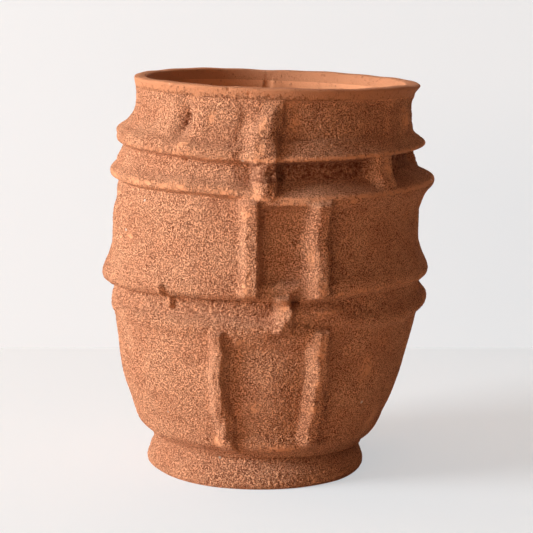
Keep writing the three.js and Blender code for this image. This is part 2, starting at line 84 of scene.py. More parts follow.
def through(stations, value):
    """A smooth line through stations of [value, result], level beyond its ends."""
    at, result = np.array(stations, float).T
    slope = np.gradient(result, at)
    i = np.clip(np.searchsorted(at, value, side="right") - 1, 0, len(at) - 2)
    span = at[i + 1] - at[i]
    t = np.clip((value - at[i]) / span, 0.0, 1.0)
    near = (1 + 2 * t) * (1 - t) ** 2
    bend = t * (1 - t) ** 2 * slope[i] - t * t * (1 - t) * slope[i + 1]
    return near * result[i] + (1 - near) * result[i + 1] + bend * span


def around(stations, angle, blur=5):
    """A value that changes smoothly round the pot, from stations of [degrees, value]."""
    ring = np.arange(-180.0, 180.0)
    at, value = np.array(stations, float).T
    line = np.interp(ring, at, value, period=360)
    window = np.hanning(2 * blur + 3)[1:-1]
    wrapped = np.concatenate([line[-blur:], line, line[:blur]])
    return np.interp(angle, ring, np.convolve(wrapped, window / window.sum(), "valid"), period=360)


def turned_from(angle, middle):
    """Degrees from the middle line, from -180 to 180."""
    return (angle - middle + 180) % 360 - 180


def ridge(value, middle, half_width):
    """1 where the value is at the middle, falling away evenly on both sides."""
    return np.exp(-(((value - middle) / half_width) ** 2))


print("a smooth step from 0 to 4 goes through", [round(float(smooth(x, 0, 4)), 2) for x in range(5)])

# %% [markdown]
# ## The plain wall
# Before its relief, the wall is a round tube whose radius changes with height and whose middle leans to
# the right as it rises. Both lines were read off the outline on the two sides of the photograph: half
# the sum of the two sides is the radius, and half their difference is the lean. With the wall as a
# number, every later mark is a number added to it or taken away. The clay is 13 mm thick, and however
# deep the marks are, 5 mm of it are left.

# %% Radius and lean of the plain wall
PLAIN_RADII = [
    [18, 108], [24, 110], [29, 112], [35, 116.8], [46, 126.5], [57, 131], [73, 137.3], [95, 144.4],
    [116, 149], [138, 153.2], [160, 157], [196, 160], [246, 158.5], [297, 157], [324, 152.5],
    [354, 148], [371, 143.4], [400, 143.5],
]
LEAN = [
    [18, -8], [29, -6], [35, -3], [46, -5.4], [73, -4.4], [95, -4.2], [116, -3.6], [138, -1.8],
    [159, -0.4], [178, 0.2], [297, 2], [354, 4.4], [368, 9], [382, 9.8], [400, 11.5],
]
WALL = 13.0
THINNEST = 5.0


def plain_radius(level):
    return through(PLAIN_RADII, level)


def lean(level):
    return through(LEAN, level)


print(f"the plain wall is {2 * plain_radius(196):.0f} mm across and leans {lean(400) - lean(18):.1f} mm")

# %% [markdown]
# ## Lines that run round the pot
# Seams and lips aren't level on a pot made by hand. These are the heights of the foot's seam, the seam
# under the barrel, the ridge of the waist coil, and the lips of the two bands, each read off the
# photograph in front and carried on round the back. Relief that is measured from such a line follows it
# by itself. Left of the front the bands are soft, and right of it sharp, and they change over within a few
# degrees.

# %% Heights of the seams, the coil's ridge and the lips
FOOT_SEAM = [[-90, 27], [-45, 29], [0, 31], [45, 27], [90, 20], [135, 22], [180, 26], [-135, 27]]
BARREL_SEAM = [
    [-90, 192.5], [-65, 197], [-38, 200.5], [-10, 201], [10, 199], [17, 197.5], [34, 200], [52, 201.5],
    [75, 199], [90, 197], [135, 199], [180, 198], [-135, 192],
]
COIL_RIDGE = [
    [-90, 175], [-60, 171], [-40, 170], [-20, 171], [1, 168], [9, 187], [20, 183], [33, 176], [51, 170],
    [90, 177], [135, 174], [180, 176], [-135, 173],
]
LOWER_LIP = [
    [-90, 303.5], [-60, 302.5], [-40, 302.5], [-25, 302.5], [-17, 300.5], [-8, 300], [0, 298],
    [15, 297.5], [40, 297.5], [90, 299.5], [180, 300], [-140, 303],
]
UPPER_LIP = [
    [-90, 339.5], [-55, 338.5], [-34, 337.2], [-18, 334], [-9.5, 334.5], [20, 335.5], [57, 335.5],
    [90, 335], [180, 336], [-140, 339],
]
SHARP_FROM, SHARP_TO = -13, -3


def sharp_side(angle):
    """0 on the soft left side, 1 on the sharp right side. The straps hide where it changes over."""
    turn = np.sin(np.radians(angle))
    return smooth(turn, math.sin(math.radians(SHARP_FROM)), math.sin(math.radians(SHARP_TO)))


print(f"in front the lips are at {around(LOWER_LIP, 0):.0f} and {around(UPPER_LIP, 0):.0f} mm")

# %% [markdown]
# ## The shoulder bands
# On the left both bands were stroked down into low soft rolls. On the right they were left standing:
# each is a shelf that slopes out and down to a lip, with a hollow wiped under it. The tables give the
# rise over the plain wall by height over the lip. The sharp ones are shares: where they are above 0, of a
# rise that grows from the front towards the right, and in the channel, of its one depth, which leaves
# the wall thick enough. Tied to the lip, a band follows it all the way round.

# %% Bands, soft and sharp
SOFT_LOWER = [
    [-26, 0], [-14, -1.2], [-6, -3], [-2.6, -2.6], [-0.6, 1], [1.6, 4.8], [5, 6.6], [9, 6], [12, 3.4],
    [15, 0.2], [20, -1.6], [26, -2], [31, -1.2], [36, 0],
]
SOFT_UPPER = [
    [-16, 0], [-9, -0.8], [-4.5, -1.6], [-2, 0.4], [0, 4.4], [2.5, 6.8], [6, 7.6], [10, 8], [12.5, 6],
    [16.5, 1.4], [23, 0],
]
SHARP_LOWER = [
    [-30, 0], [-21, 0.2], [-13, 0.44], [-8, 0.68], [-3.5, 0.96], [0, 1], [3, 0.93], [7, 0.5],
    [10, 0.06], [13, -0.36], [15.5, -0.68], [21, -0.8], [28, -0.76], [33, -0.5], [36.5, 0],
]
SHARP_UPPER = [
    [-12, 0], [-7, -0.1], [-4, 0.25], [-2, 0.8], [0, 1], [3.5, 0.95], [8, 0.5], [13, 0.14], [18, 0],
]
CHANNEL_DEPTH = 10.5
LOWER_RISE = [[0, 10.5], [30, 12.5], [60, 15], [90, 16.5], [120, 15], [150, 12], [180, 10], [-90, 10]]
UPPER_RISE = [[0, 9], [57, 11], [90, 12.5], [120, 11], [150, 10], [180, 9], [-90, 9]]


def band_relief(angle, level):
    over_lower = level - around(LOWER_LIP, angle)
    over_upper = level - around(UPPER_LIP, angle)
    soft = through(SOFT_LOWER, over_lower) + through(SOFT_UPPER, over_upper)
    shelf = through(SHARP_LOWER, over_lower)
    sharp = around(LOWER_RISE, angle) * np.maximum(shelf, 0.0) + CHANNEL_DEPTH * np.minimum(shelf, 0.0)
    sharp = sharp + around(UPPER_RISE, angle) * through(SHARP_UPPER, over_upper)
    share = sharp_side(angle)
    return soft * (1 - share) + sharp * share


on_left, on_right = band_relief(-90, 309), band_relief(90, 300)
print(f"the lower band rises {on_left:.1f} mm on the left and {on_right:.1f} mm on the right")

# %% [markdown]
# ## The barrel's foot and the waist coil
# The barrel wall was set down on the coil and its lower edge spread outwards, so it hangs over the coil
# as a round roll with a dark seam under it. The coil is pressed in below that seam and swells to a
# ridge lower down. On the left the ridge stands high and round, and on the right it slants down. Barrel
# and coil meet in a step at the seam, so each has its own relief and neither smooths the other.

# %% Barrel's lower roll, and the coil with its groove and ridge
BARREL_ROLL = [[-1, 0.2], [1, 0.48], [4, 0.84], [8, 1], [13, 0.97], [19, 0.74], [28, 0.34], [40, 0]]
BARREL_ROLL_RISE = [[-90, 9.4], [-60, 9], [-30, 7.5], [0, 6.5], [40, 6], [90, 9], [180, 8], [-135, 9]]
COIL_SHAPE = [[-16, 0], [-9, 0.22], [-4, 0.8], [0, 1], [4, 0.9], [9, 0.45], [15, 0]]
COIL_RISE = [
    [-90, 4.4], [-60, 4.6], [-40, 5], [-20, 5], [1, 4], [9, 7], [33, 6.5], [90, 9.5], [180, 6], [-135, 5],
]
GROOVE_DEPTH = [
    [-90, 2.5], [-60, 5.5], [-45, 8], [-30, 9], [0, 8.5], [10, 3.5], [30, 2.4], [90, 0], [180, 3],
    [-135, 3],
]
SEAM_STEP = -1.5


def barrel_foot_relief(angle, level):
    over_seam = level - around(BARREL_SEAM, angle)
    return around(BARREL_ROLL_RISE, angle) * through(BARREL_ROLL, over_seam) * (over_seam > SEAM_STEP)


def coil_relief(angle, level):
    over_seam = level - around(BARREL_SEAM, angle)
    swelling = around(COIL_RISE, angle, 3) * through(COIL_SHAPE, level - around(COIL_RIDGE, angle, 3))
    groove = around(GROOVE_DEPTH, angle) * smooth(over_seam, -28, -15)
    return (swelling - groove) * (over_seam <= SEAM_STEP)


print(f"the barrel's roll stands {barrel_foot_relief(-60, 205):.1f} mm out on the left")

# %% [markdown]
# ## Strips pressed up the wall
# Each strip was smeared flat on its left and left sheer on its right, which is why it throws a shadow on
# that side only. `strip` gives the share of the full rise from the distance to the strip's middle line,
# and the height where it starts and ends. A path is a list of [height, degrees]. Bars laid on the wall
# would show an edge all round them, so the strips are part of the wall's own surface.

# %% The section of a strip, and where the strips run
def strip(angle, level, path, edges, ends, soft=(8.0, 3.0), fade=(5.0, 5.0)):
    """1 on the crest of a strip, 0 off it. edges are mm to the left and right of the path."""
    aside = np.radians(turned_from(angle, through(path, level))) * plain_radius(level)
    # A hand doesn't draw a straight edge, so the distance wavers with the height.
    aside = aside + 0.9 * np.sin(level / 6.5 + path[0][1]) + 0.5 * np.sin(level / 2.9 + angle / 9)
    left = smooth(aside, edges[0], edges[0] + soft[0])
    right = 1 - smooth(aside, edges[1] - soft[1], edges[1])
    low = smooth(level, ends[0], ends[0] + fade[0])
    high = 1 - smooth(level, ends[1] - fade[1], ends[1])
    return left * right * low * high


BARREL_LEFT_STRIP = [[196, -5.6], [246, -5.7], [297, -5.9]]
BARREL_RIGHT_STRIP = [[196, 18.8], [220, 19.2], [243, 19.6], [268, 19], [297, 19.4]]
WAIST_STRIP = [[165, 7.4], [205, 6.4]]
BOWL_LEFT_STRIP = [[40, -17.4], [64, -16.2], [90, -16.6], [125, -16.8], [160, -16.8]]
BOWL_LEFT_TOE = [[36, -13], [80, -13.8], [128, -16.2]]
BOWL_RIGHT_STRIP = [[40, 23], [55, 22.4], [85, 21.4], [112, 22], [135, 21], [162, 20.2]]
SEAM_PINCH = [[184, -38], [214, -37.4]]


def seen_strips(angle, level):
    rise = 9 * strip(angle, level, BARREL_LEFT_STRIP, (-12, 12.5), (199, 300), (11, 4), (9, 6))
    rise += 9.5 * strip(angle, level, BARREL_RIGHT_STRIP, (-15, 9), (198, 299), (11, 4.5), (6, 8))
    rise += 9 * strip(angle, level, WAIST_STRIP, (-14, 9), (163, 207), (11, 5), (7, 5))
    rise += 9 * strip(angle, level, BOWL_LEFT_STRIP, (-11, 9), (48, 170), (12, 4), (40, 6))
    rise += 10 * strip(angle, level, BOWL_RIGHT_STRIP, (-14, 10), (38, 172), (11, 5.5), (12, 6))
    toe = 7 * strip(angle, level, BOWL_LEFT_TOE, (-15, 8), (34, 128), (13, 4.5), (9, 44))
    pinch = 5.5 * strip(angle, level, SEAM_PINCH, (-4.5, 4), (183, 215), (3, 2.4), (5, 5))
    return np.maximum(rise, toe) + pinch


print(f"the barrel's left strip stands {seen_strips(-5.7, 250):.1f} mm out")

# %% [markdown]
# ## Strips out of sight
# The photograph shows the front half. Round the back the same hands went on in the same way, so the
# strips there repeat the front's widths and rises at the places the solids give them. Those of one member
# are alike, so one row of a table holds them.

# %% Strips at the sides and the back
HIDDEN_STRIPS = {
    # member: heights at the path's ends, start and end of the strip, its edges, and for each strip its
    # angles at the path's ends and its rise
    "bowl": (
        (40, 160), (36, 170), (-11, 9),
        [(112, 109, 6.5), (141, 146, 6.5), (-151, -154, 6.5), (-112, -109, 6.5)],
    ),
    "waist": ((165, 205), (160, 207), (-11, 9), [(110, 107, 7), (-171, -168, 7), (-112, -110, 6)]),
    "barrel": (
        (196, 297), (198, 300), (-14, 10),
        [(112, 114, 6.5), (152, 149, 6.5), (-158, -160, 6.5), (-116, -113, 6.5)],
    ),
    "neck": ((354, 389), (350, 389), (-9, 7), [(128, 126, 5), (-112, -110, 5)]),
    "seam": ((184, 214), (184, 214), (-4, 4), [(122, 122, 5)]),
}


def hidden_strips(angle, level):
    total = 0.0
    for (low, high), ends, edges, places in HIDDEN_STRIPS.values():
        for at_low, at_high, rise in places:
            path = [[low, at_low], [high, at_high]]
            total = total + rise * strip(angle, level, path, edges, ends, (edges[1], 3))
    return total


print(sum(len(kind[-1]) for kind in HIDDEN_STRIPS.values()), "strips are out of sight")

# %% [markdown]
# ## Panels pressed back
# Between two strips the wall was pushed in with the flat of the thumb, deepest beside the strip on its
# left and coming gently forward towards the next one. Each panel is given by the angles and heights it
# runs between, its depth at the left and at the right, and how soft its edges are. Without them the
# strips alone would have to stand too far out to throw the shadows that they do.

# %% Where the panels are, and how deep
PANELS = [
    # left edge, right edge, low, high, depth left, depth right, soft side, soft end
    (-2.6, 16.0, 214, 294, 6.0, 6.0, 1.2, 7.0),
    (21.4, 66.0, 214, 292, 4.0, 1.2, 2.0, 9.0),
    (-13.2, 19.0, 50, 157, 5.0, 1.6, 1.2, 9.0),
    (25.2, 54.0, 42, 158, 3.8, 0.5, 1.6, 10.0),
    (3.4, 54.0, 350, 391, 6.0, 3.0, 1.3, 6.0),
    (72.0, 120.0, 354, 389, 2.0, 2.0, 3.0, 9.0),
    (-106.0, -50.0, 356, 388, 1.0, 0.5, 6.0, 9.0),
    (118.0, 146.0, 214, 292, 4.5, 1.0, 1.5, 8.0),
    (-154.0, -120.0, 214, 292, 4.5, 1.0, 1.5, 8.0),
    (116.0, 138.0, 45, 156, 3.6, 1.0, 1.5, 9.0),
    (-147.0, -116.0, 45, 156, 3.6, 1.0, 1.5, 9.0),
    (132.0, 168.0, 352, 390, 4.5, 2.0, 1.5, 7.0),
]


SOFT_RIGHT = 4.0


def pressed_panels(angle, level):
    total = 0.0
    for left, right, low, high, deep_left, deep_right, soft_side, soft_end in PANELS:
        turn, width = turned_from(angle, left), right - left
        share = np.clip(turn / width, 0.0, 1.0)
        inside = smooth(turn, -soft_side / 2, soft_side) * (1 - smooth(turn, width - SOFT_RIGHT, width))
        inside = inside * smooth(level, low, low + soft_end) * (1 - smooth(level, high - soft_end, high))
        total = total + inside * (deep_left + (deep_right - deep_left) * share)
    return total


print(len(PANELS), "panels, pressed in by up to", max(panel[4] for panel in PANELS), "mm")

# %% [markdown]
# ## Dents, dimples and swellings
# Fingertips left single marks: a dimple on the neck, pads beside it, a smooth arch over the bowl's
# valley, a belly in the middle of the bowl's panel and a ledge under it. Each is one soft mound or
# hollow, given by its place, its half width and half height in millimetres and its rise. Small deep ones
# are pits, which are cut after everything else. Sculpting could set them too, but nobody could then
# read or move them.

# %% Single marks of the hand
MARKS = [
    # degrees, height, half width, half height, rise
    (-36.4, 366, 6.5, 16, -8.5),
    (-43.0, 368, 4.5, 17, 2.2),
    (-28.0, 368, 6.5, 14, 2.0),
    (-30.0, 347, 11.0, 5, 1.6),
    (-52.0, 371, 16.0, 14, -1.0),
    (-11.6, 366, 6.0, 17, -3.0),
    (-9.6, 338, 4.5, 10, -2.0),
    (-6.5, 84, 9.0, 15, 2.0),
    (6.0, 105, 16.0, 34, 1.4),
    (-10.5, 158, 7.0, 5, 2.6),
    (9.0, 42, 34.0, 6, 4.2),
    (-24.0, 46, 17.0, 8, 3.4),
    (-52.0, 44, 24.0, 8, 2.0),
    (-86.0, 281, 34.0, 10, -3.4),
    (-86.0, 323, 40.0, 6, 2.6),
    (-86.0, 344, 40.0, 5, -2.4),
    (86.0, 343, 30.0, 5, 2.6),
    (15.0, 292, 14.0, 6, 2.0),
    (66.0, 368, 11.0, 22, 3.6),
    (52.0, 345, 14.0, 8, 1.6),
    (20.0, 187, 22.0, 4, 1.8),
    (-24.0, 193, 14.0, 7, -2.0),
    (60.0, 250, 30.0, 34, 1.2),
    (-60.0, 245, 40.0, 26, -1.0),
    (-50.0, 110, 34.0, 40, 0.8),
    (44.0, 92, 18.0, 30, 1.2),
]
PITS = [
    # degrees, height, half width, half height, depth
    (-2.0, 331, 5.0, 4.0, 2.4),
    (1.4, 323, 5.0, 4.5, 2.8),
    (-3.0, 349, 3.0, 3.5, 1.2),
    (-5.4, 262, 3.5, 4.0, 1.4),
    (-5.0, 226, 3.0, 4.0, 1.2),
    (-16.6, 118, 3.0, 5.0, 1.3),
    (23.0, 99, 4.0, 4.0, 1.6),
    (10.8, 200, 5.5, 6.5, 9.0),
    (-31.6, 333, 2.2, 2.6, 3.5),
    (-31.0, 195, 6.5, 5.0, 3.0),
    (15.6, 174, 3.6, 3.0, 3.5),
    (33.4, 182, 1.6, 1.6, 2.5),
    (36.3, 187, 1.9, 1.7, 2.5),
    (37.8, 289.3, 1.5, 1.3, 2.5),
    (31.2, 288.8, 1.5, 1.3, 2.5),
    (-18.6, 397, 1.2, 1.2, 1.6),
    (-10.5, 394, 1.2, 1.2, 1.6),
    (-2.6, 392.5, 1.2, 1.2, 1.6),
    (7.6, 389, 1.2, 1.2, 1.6),
]


def mounds(angle, level, places):
    total = 0.0
    for degrees, height, half_width, half_height, rise in places:
        aside = np.radians(turned_from(angle, degrees)) * plain_radius(level) / half_width
        above = (level - height) / half_height
        total = total + rise * np.exp(-(aside**2) - above**2)
    return total


print(len(MARKS), "single marks and", len(PITS), "pits")

# %% [markdown]
# ## The strap over both bands
# One thick tongue of clay comes down from under the rim, crosses the upper band, the channel and the
# lower band, and ends in a blunt knob on the barrel. It isn't added to the wall but laid over it: inside
# its edges the surface goes to the strap's own height, whatever lies under it. A bridge fills the
# channel further right in the same way.

# %% Straps and bridges laid over the wall
STRAP_RISE = [
    [292, 7], [297, 12], [303, 15], [312, 15], [320, 13], [327, 12.5], [336, 14], [346, 12.5],
    [356, 10.5], [366, 9.5], [380, 7.5], [392, 4],
]
STRAP_LEFT = [
    [290, -2], [300, -3.8], [309, -4.8], [318, -5.2], [325, -4.8], [333, -6], [345, -7.6], [356, -8.4],
    [368, -7.4], [378, -5], [388, -3],
]
STRAP_RIGHT = [
    [290, 0.4], [297, 2], [303, 3.4], [312, 4.4], [330, 4.2], [345, 4.2], [360, 4], [384, 3.2], [392, 2],
]
BACK_STRAP_TURN = -169
BRIDGES = ([[304, 45.8], [338, 45.4]], [[304, 110], [338, 112]])
BRIDGE_RISE = [[302, 14], [308, 12], [320, 11], [330, 11.5], [338, 12]]
BRIDGE_EDGES = (-14, 12.5)
BRIDGE_ENDS = (301, 341)


def strap_share(angle, level):
    """1 on the strap's crest, rising softly from its left edge and dropping sheer at its right edge."""
    mm_a_degree = np.radians(plain_radius(level))
    left = turned_from(angle, through(STRAP_LEFT, level)) * mm_a_degree
    right = turned_from(angle, through(STRAP_RIGHT, level)) * mm_a_degree
    fall = 0.12 + 0.4 * smooth(level, 348, 362) + 0.18 * (1 - smooth(level, 312, 322))
    round_off = 3.6 + 5 * smooth(level, 344, 360)
    drop = 1 - smooth(right, 0.4 - round_off, 0.4)
    share = smooth(left, -4, 10) * drop * (1 - fall * smooth(right, -13, -2))
    return share * smooth(level, 291, 300) * (1 - smooth(level, 372, 390))


def laid_over(angle, level, wall):
    behind = turned_from(angle, BACK_STRAP_TURN)
    share = np.maximum(strap_share(angle, level), strap_share(behind, level))
    strap = np.maximum(wall, plain_radius(level) + through(STRAP_RISE, level))
    wall = wall + (strap - wall) * share
    for path in BRIDGES:
        share = strip(angle, level, path, BRIDGE_EDGES, BRIDGE_ENDS, (7, 3), (6, 5))
        bridge = np.maximum(wall, plain_radius(level) + through(BRIDGE_RISE, level))
        wall = wall + (bridge - wall) * share
    return wall


print("the strap stands", max(rise for _, rise in STRAP_RISE), "mm over the plain wall")

# %% [markdown]
# ## Under the rim
# The last pull of a wet thumb rolled the rim out a little and dragged the clay under it smooth. The roll
# follows the rim, which slopes down to the right, so it is drawn on levels that slope with it. All the
# marks then meet in two functions, the outside and the inside of the wall.

# %% The rim's roll, the slope of the upper levels, and the slow waves of the hand
RIM_TOP = 400.0
JOIN_AT, JOIN_HALF_WIDTH, JOIN_DEPTH = -176.9, 1.9, 3.5
RIM_SLOPE = math.tan(math.radians(1.8))
SLOPE = [[333, 0], [354, RIM_SLOPE / 2], [389, RIM_SLOPE], [400, RIM_SLOPE]]
RIM_LIFT = [[-90, 1.6], [-45, 3], [0, 3.6], [60, 3.4], [90, 1.6], [135, 1], [180, 0.2], [-135, 2.2]]


def rim_roll(angle, level):
    """The roll stands further out, and starts higher up, on the right."""
    right = smooth(angle, 40, 90)
    return (2.2 + 2.4 * right) * smooth(level, 386 + 4 * right, 399)


def dip(angle, level):
    """How far a level lies below its nominal height, before the slope, since the rim isn't flat."""
    return -around(RIM_LIFT, angle) * smooth(level, 356, 400)


def hand_waves(angle, level):
    """The slow unevenness of a wall that no wheel turned."""
    turn = np.radians(angle)
    slow = np.sin(3 * turn + level / 41) + 0.7 * np.sin(5 * turn - level / 23)
    return 0.55 * slow + 0.3 * np.sin(11 * turn + level / 15) * np.sin(level / 19 + 4 * turn)


def outer_radius(angle, level):
    """The pressed outside of the wall, before its grain."""
    wall = plain_radius(level) + band_relief(angle, level) + hand_waves(angle, level)
    wall = wall + rim_roll(angle, level)
    wall = wall + barrel_foot_relief(angle, level) + coil_relief(angle, level)
    wall = wall - pressed_panels(angle, level)
    wall = wall + np.maximum(seen_strips(angle, level), hidden_strips(angle, level))
    wall = laid_over(angle, level, wall + mounds(angle, level, MARKS))
    return np.maximum(wall - mounds(angle, level, PITS), plain_radius(level) - WALL + THINNEST)


def inner_radius(angle, level):
    """The inside, drawn up smooth, with the join of the last coil as a shallow upright groove."""
    join = np.exp(-((turned_from(angle, JOIN_AT) / JOIN_HALF_WIDTH) ** 4))
    join = join * (1 - smooth(level, 386, 391)) * smooth(level, 330, 350)
    waves = 0.5 * np.sin(np.radians(angle) * 4 + level / 30) + 0.35 * np.sin(level / 7.5)
    return plain_radius(level) - WALL + waves + JOIN_DEPTH * join


print(f"the wall on the left is {outer_radius(-60, 250) - inner_radius(-60, 250):.1f} mm thick")

# %% [markdown]
# ## Where the clay is smooth, and where shade is painted
# Wet fingers closed the grain along the rim, on the lips of the bands, on the crests of the strips and in
# single patches. `wiped_share` is 1 there and 0 on the torn clay, and both the grain that is cut into the
# mesh and the material read it. `coarseness` says how deep the torn grain is: deepest on the waist and
# shallow on the panels towards the right, which were scraped as well as pressed. A third mask darkens the
# clay in the channel, in the neck's dimple and under the barrel's roll: this is painted shade, for the
# shadow in these hollows. A painted mask could say all this, but here the masks move with the lines that
# they follow.

# %% Wiped and coarse places
WIPED_PATCHES = [
    # degrees, height, half width, half height
    (-31, 347, 11, 4.5), (-25, 371, 7, 9), (-33, 392, 9, 8), (6, 386, 15, 8), (8, 368, 8, 13),
    (54, 387, 8, 7), (64, 368, 9, 14), (-12, 300, 8, 4), (8, 296, 24, 4.5), (29.5, 296, 10, 4),
    (16, 240, 5, 12), (-9, 157, 10, 5), (-3, 88, 7, 11), (9, 43, 27, 8), (20, 148, 7, 18),
    (20.6, 113, 5, 8), (20, 88, 5, 10), (-18, 51, 10, 9), (22, 187, 24, 4), (46.4, 322, 9, 12),
    (-2.5, 345, 6, 10), (-4, 369, 5, 12), (-3.6, 306, 6, 7), (-37.8, 199, 4, 14), (6, 193, 6, 9),
    (-6, 214, 7, 16), (-7, 285, 8, 8), (18, 214, 7, 16), (60, 60, 14, 20), (45, 120, 12, 18),
    (-60, 250, 10, 6), (150, 120, 16, 20), (-100, 345, 20, 5),
]
RIM_WIPE = [
    [-90, 390], [-50, 391.5], [-20, 392], [0, 392], [20, 390.5], [40, 388.5], [80, 388], [120, 390],
]


def wiped_share(angle, level):
    share = 0.95 * smooth(level - around(RIM_WIPE, angle), -5, 3)
    sharp = sharp_side(angle)
    over_lower, over_upper = level - around(LOWER_LIP, angle), level - around(UPPER_LIP, angle)
    for over_lip in (over_lower, over_upper):
        share = np.maximum(share, 0.85 * sharp * ridge(over_lip, 1.5, 3.2))
    uneven = 0.62 + 0.14 * np.sin(angle / 3.1) + 0.1 * np.sin(angle / 1.3)
    share = np.maximum(share, uneven * (1 - sharp) * ridge(over_lower, 5, 5.5))
    share = np.maximum(share, 0.55 * (1 - sharp) * ridge(over_upper, 2.5, 4))
    barrel_roll = ridge(level - around(BARREL_SEAM, angle), 5, 4)
    share = np.maximum(share, 0.6 * barrel_roll * smooth(angle, 18, 26))
    for patch in WIPED_PATCHES:
        share = np.maximum(share, 0.8 * mounds(angle, level, [(*patch, 1.0)]))
    return np.clip(share, 0.0, 1.0)


def coarseness(angle, level):
    to_the_right = 1 - smooth(angle, 95, 120)
    scraped = smooth(angle, 18, 30) * to_the_right * smooth(level, 205, 220)
    share = 1.0 - 0.45 * scraped * (1 - smooth(level, 300, 312))
    share = share - 0.35 * smooth(angle, 24, 34) * to_the_right * (1 - smooth(level, 150, 165))
    waist = smooth(level, 160, 172) * (1 - smooth(level, 194, 204))
    dimple = mounds(angle, level, [(-37.0, 366, 6.0, 15, 0.5)])
    return share + 0.6 * waist * (1 - smooth(angle, 10, 40)) + dimple


def hollow_shade(angle, level):
    """Painted shade: 1 in the channel and in the neck's dimple, less under the barrel's roll, 0 elsewhere.
    """
    channel = smooth(level, 311, 316) * (1 - smooth(level, 332, 338)) * sharp_side(angle)
    over_seam = level - around(BARREL_SEAM, angle)
    under_roll = smooth(over_seam, -28, -16) * (over_seam < 0)
    under_roll = under_roll * smooth(angle, -75, -50) * (1 - smooth(angle, 0, 12))
    dimple = mounds(angle, level, [(-37.4, 366, 4.5, 14, 1.0)])
    bridges = sum(strip(angle, level, path, BRIDGE_EDGES, BRIDGE_ENDS) for path in BRIDGES)
    return np.clip(channel * (1 - bridges) + 0.4 * under_roll + dimple, 0.0, 1.0)


print(len(WIPED_PATCHES), "single patches are wiped, besides the rim and the lips")

# %% [markdown]
# ## Torn grain
# The clay holds crushed brick. Where it was dragged and torn, it stands in crumbs with gaps between them
# and open tears where grains fell out. The distance to the nearest of many scattered points gives the
# crumbs, because it is least in a crumb's middle and greatest where three crumbs meet. A second noise
# opens the tears. Both only cut inwards, so the pot never grows. A bump in the material alone would
# leave the outline smooth.

# %% Depth of the grain at points of the surface
CRUMB = 3.2
CRUMB_DEPTH = 0.5
TEAR = 2.6
TEAR_DEPTH = 0.45
TEAR_SHIFT = 37.0


def grain_depth(points):
    """The depth in mm at points in mm: the gaps between crumbs, and the ragged tears in them."""
    cells = np.array([noise.noise(p, noise_basis="VORONOI_F1") for p in (points / CRUMB).tolist()])
    tears = np.array([noise.noise(p) for p in (points / TEAR + TEAR_SHIFT).tolist()])
    return CRUMB_DEPTH * smooth((cells + 1) / 2, 0.2, 0.8) + TEAR_DEPTH * smooth(tears, -0.2, 0.4)


print(f"the grain cuts in by up to {CRUMB_DEPTH + TEAR_DEPTH:.2f} mm, before its coarseness")

# %% [markdown]
# ## Spinning a plain tube
# Every ring-shaped member starts in the same way. A closed loop of vertices stands at the front, its
# outer side on one radius and its inner side on another, and `spin` turns it once round. The columns are
# then cut finer all the way round, and the rows only on the outside, where the relief is. Spinning
# coarse and cutting afterwards gives the same mesh as a fine spin in a hundredth of the time.

# %% A spun tube with fine rows on its outside
TUBE_OUTSIDE = 1.0
TUBE_INSIDE = 0.5
COLUMN_STEPS = 108
CUTS = 7
NEAR = 0.01
LEVEL_WITHIN = 0.0001


def spun_tube(low, high, outer_rows, inner_rows=2, top_cuts=0):
    """A plain tube from level low to high, to be pressed to shape. Radii 1 and 0.5 are its two faces."""
    tube = bmesh.new()
    up = [(TUBE_OUTSIDE, low + (high - low) * i / outer_rows) for i in range(outer_rows + 1)]
    down = [(TUBE_INSIDE, high + (low - high) * i / inner_rows) for i in range(inner_rows + 1)]
    loop = [tube.verts.new((0, -radius, level)) for radius, level in up + down]
    edges = [tube.edges.new((loop[i - 1], loop[i])) for i in range(len(loop))]
    bmesh.ops.spin(
        tube, geom=loop + edges, cent=(0, 0, 0), axis=(0, 0, 1), angle=2 * math.pi,
        steps=COLUMN_STEPS, use_merge=True,
    )
    round_edges = [e for e in tube.edges if is_round(e)]
    bmesh.ops.subdivide_edges(tube, edges=round_edges, cuts=CUTS, use_grid_fill=True)
    upright = [e for e in tube.edges if is_outside(e) and not is_round(e)]
    bmesh.ops.subdivide_edges(tube, edges=upright, cuts=CUTS, use_grid_fill=True)
    if top_cuts:
        across = [e for e in tube.edges if is_across(e) and e.verts[0].co.z > high - NEAR]
        bmesh.ops.subdivide_edges(tube, edges=across, cuts=top_cuts, use_grid_fill=True)
    bmesh.ops.recalc_face_normals(tube, faces=tube.faces)
    return tube


def distance_out(vertex):
    return math.hypot(vertex.co.x, vertex.co.y)


def is_round(edge):
    """True for an edge that runs round the tube, on one level and at one distance."""
    a, b = edge.verts
    return abs(a.co.z - b.co.z) < LEVEL_WITHIN and abs(distance_out(a) - distance_out(b)) < NEAR


def is_outside(edge):
    return all(distance_out(v) > TUBE_OUTSIDE - NEAR for v in edge.verts)


def is_across(edge):
    """True for an edge that runs through the wall, from its outside to its inside."""
    return abs(distance_out(edge.verts[0]) - distance_out(edge.verts[1])) > NEAR


print("each tube has", COLUMN_STEPS * (CUTS + 1), "columns")

# %% [markdown]
# ## Pressing a tube to the wall
# Each vertex of a plain tube knows its angle, its level and how deep it lies in the wall. Pressing puts
# it where the real wall is: between the seams below and above, on the outer or the inner radius, with the
# grain cut in where the clay is torn. The shares that the materials need are kept on the mesh as two
# attributes, `wiped` and `pit_and_shade`: how wiped the clay is, and how much it is darkened, by the depth
# of its grain and by painted shade in the hollows and on the foot. These helpers read a tube, keep its
# shares and make it an object.

# %% Read a tube, keep its shares, and make it a piece
TOP_CUTS = 11
DEPTH_STEPS = 2 * (TOP_CUTS + 1)


def mesh_points(mesh):
    flat = np.empty(len(mesh.vertices) * 3)
    mesh.vertices.foreach_get("co", flat)
    return flat.reshape(-1, 3)


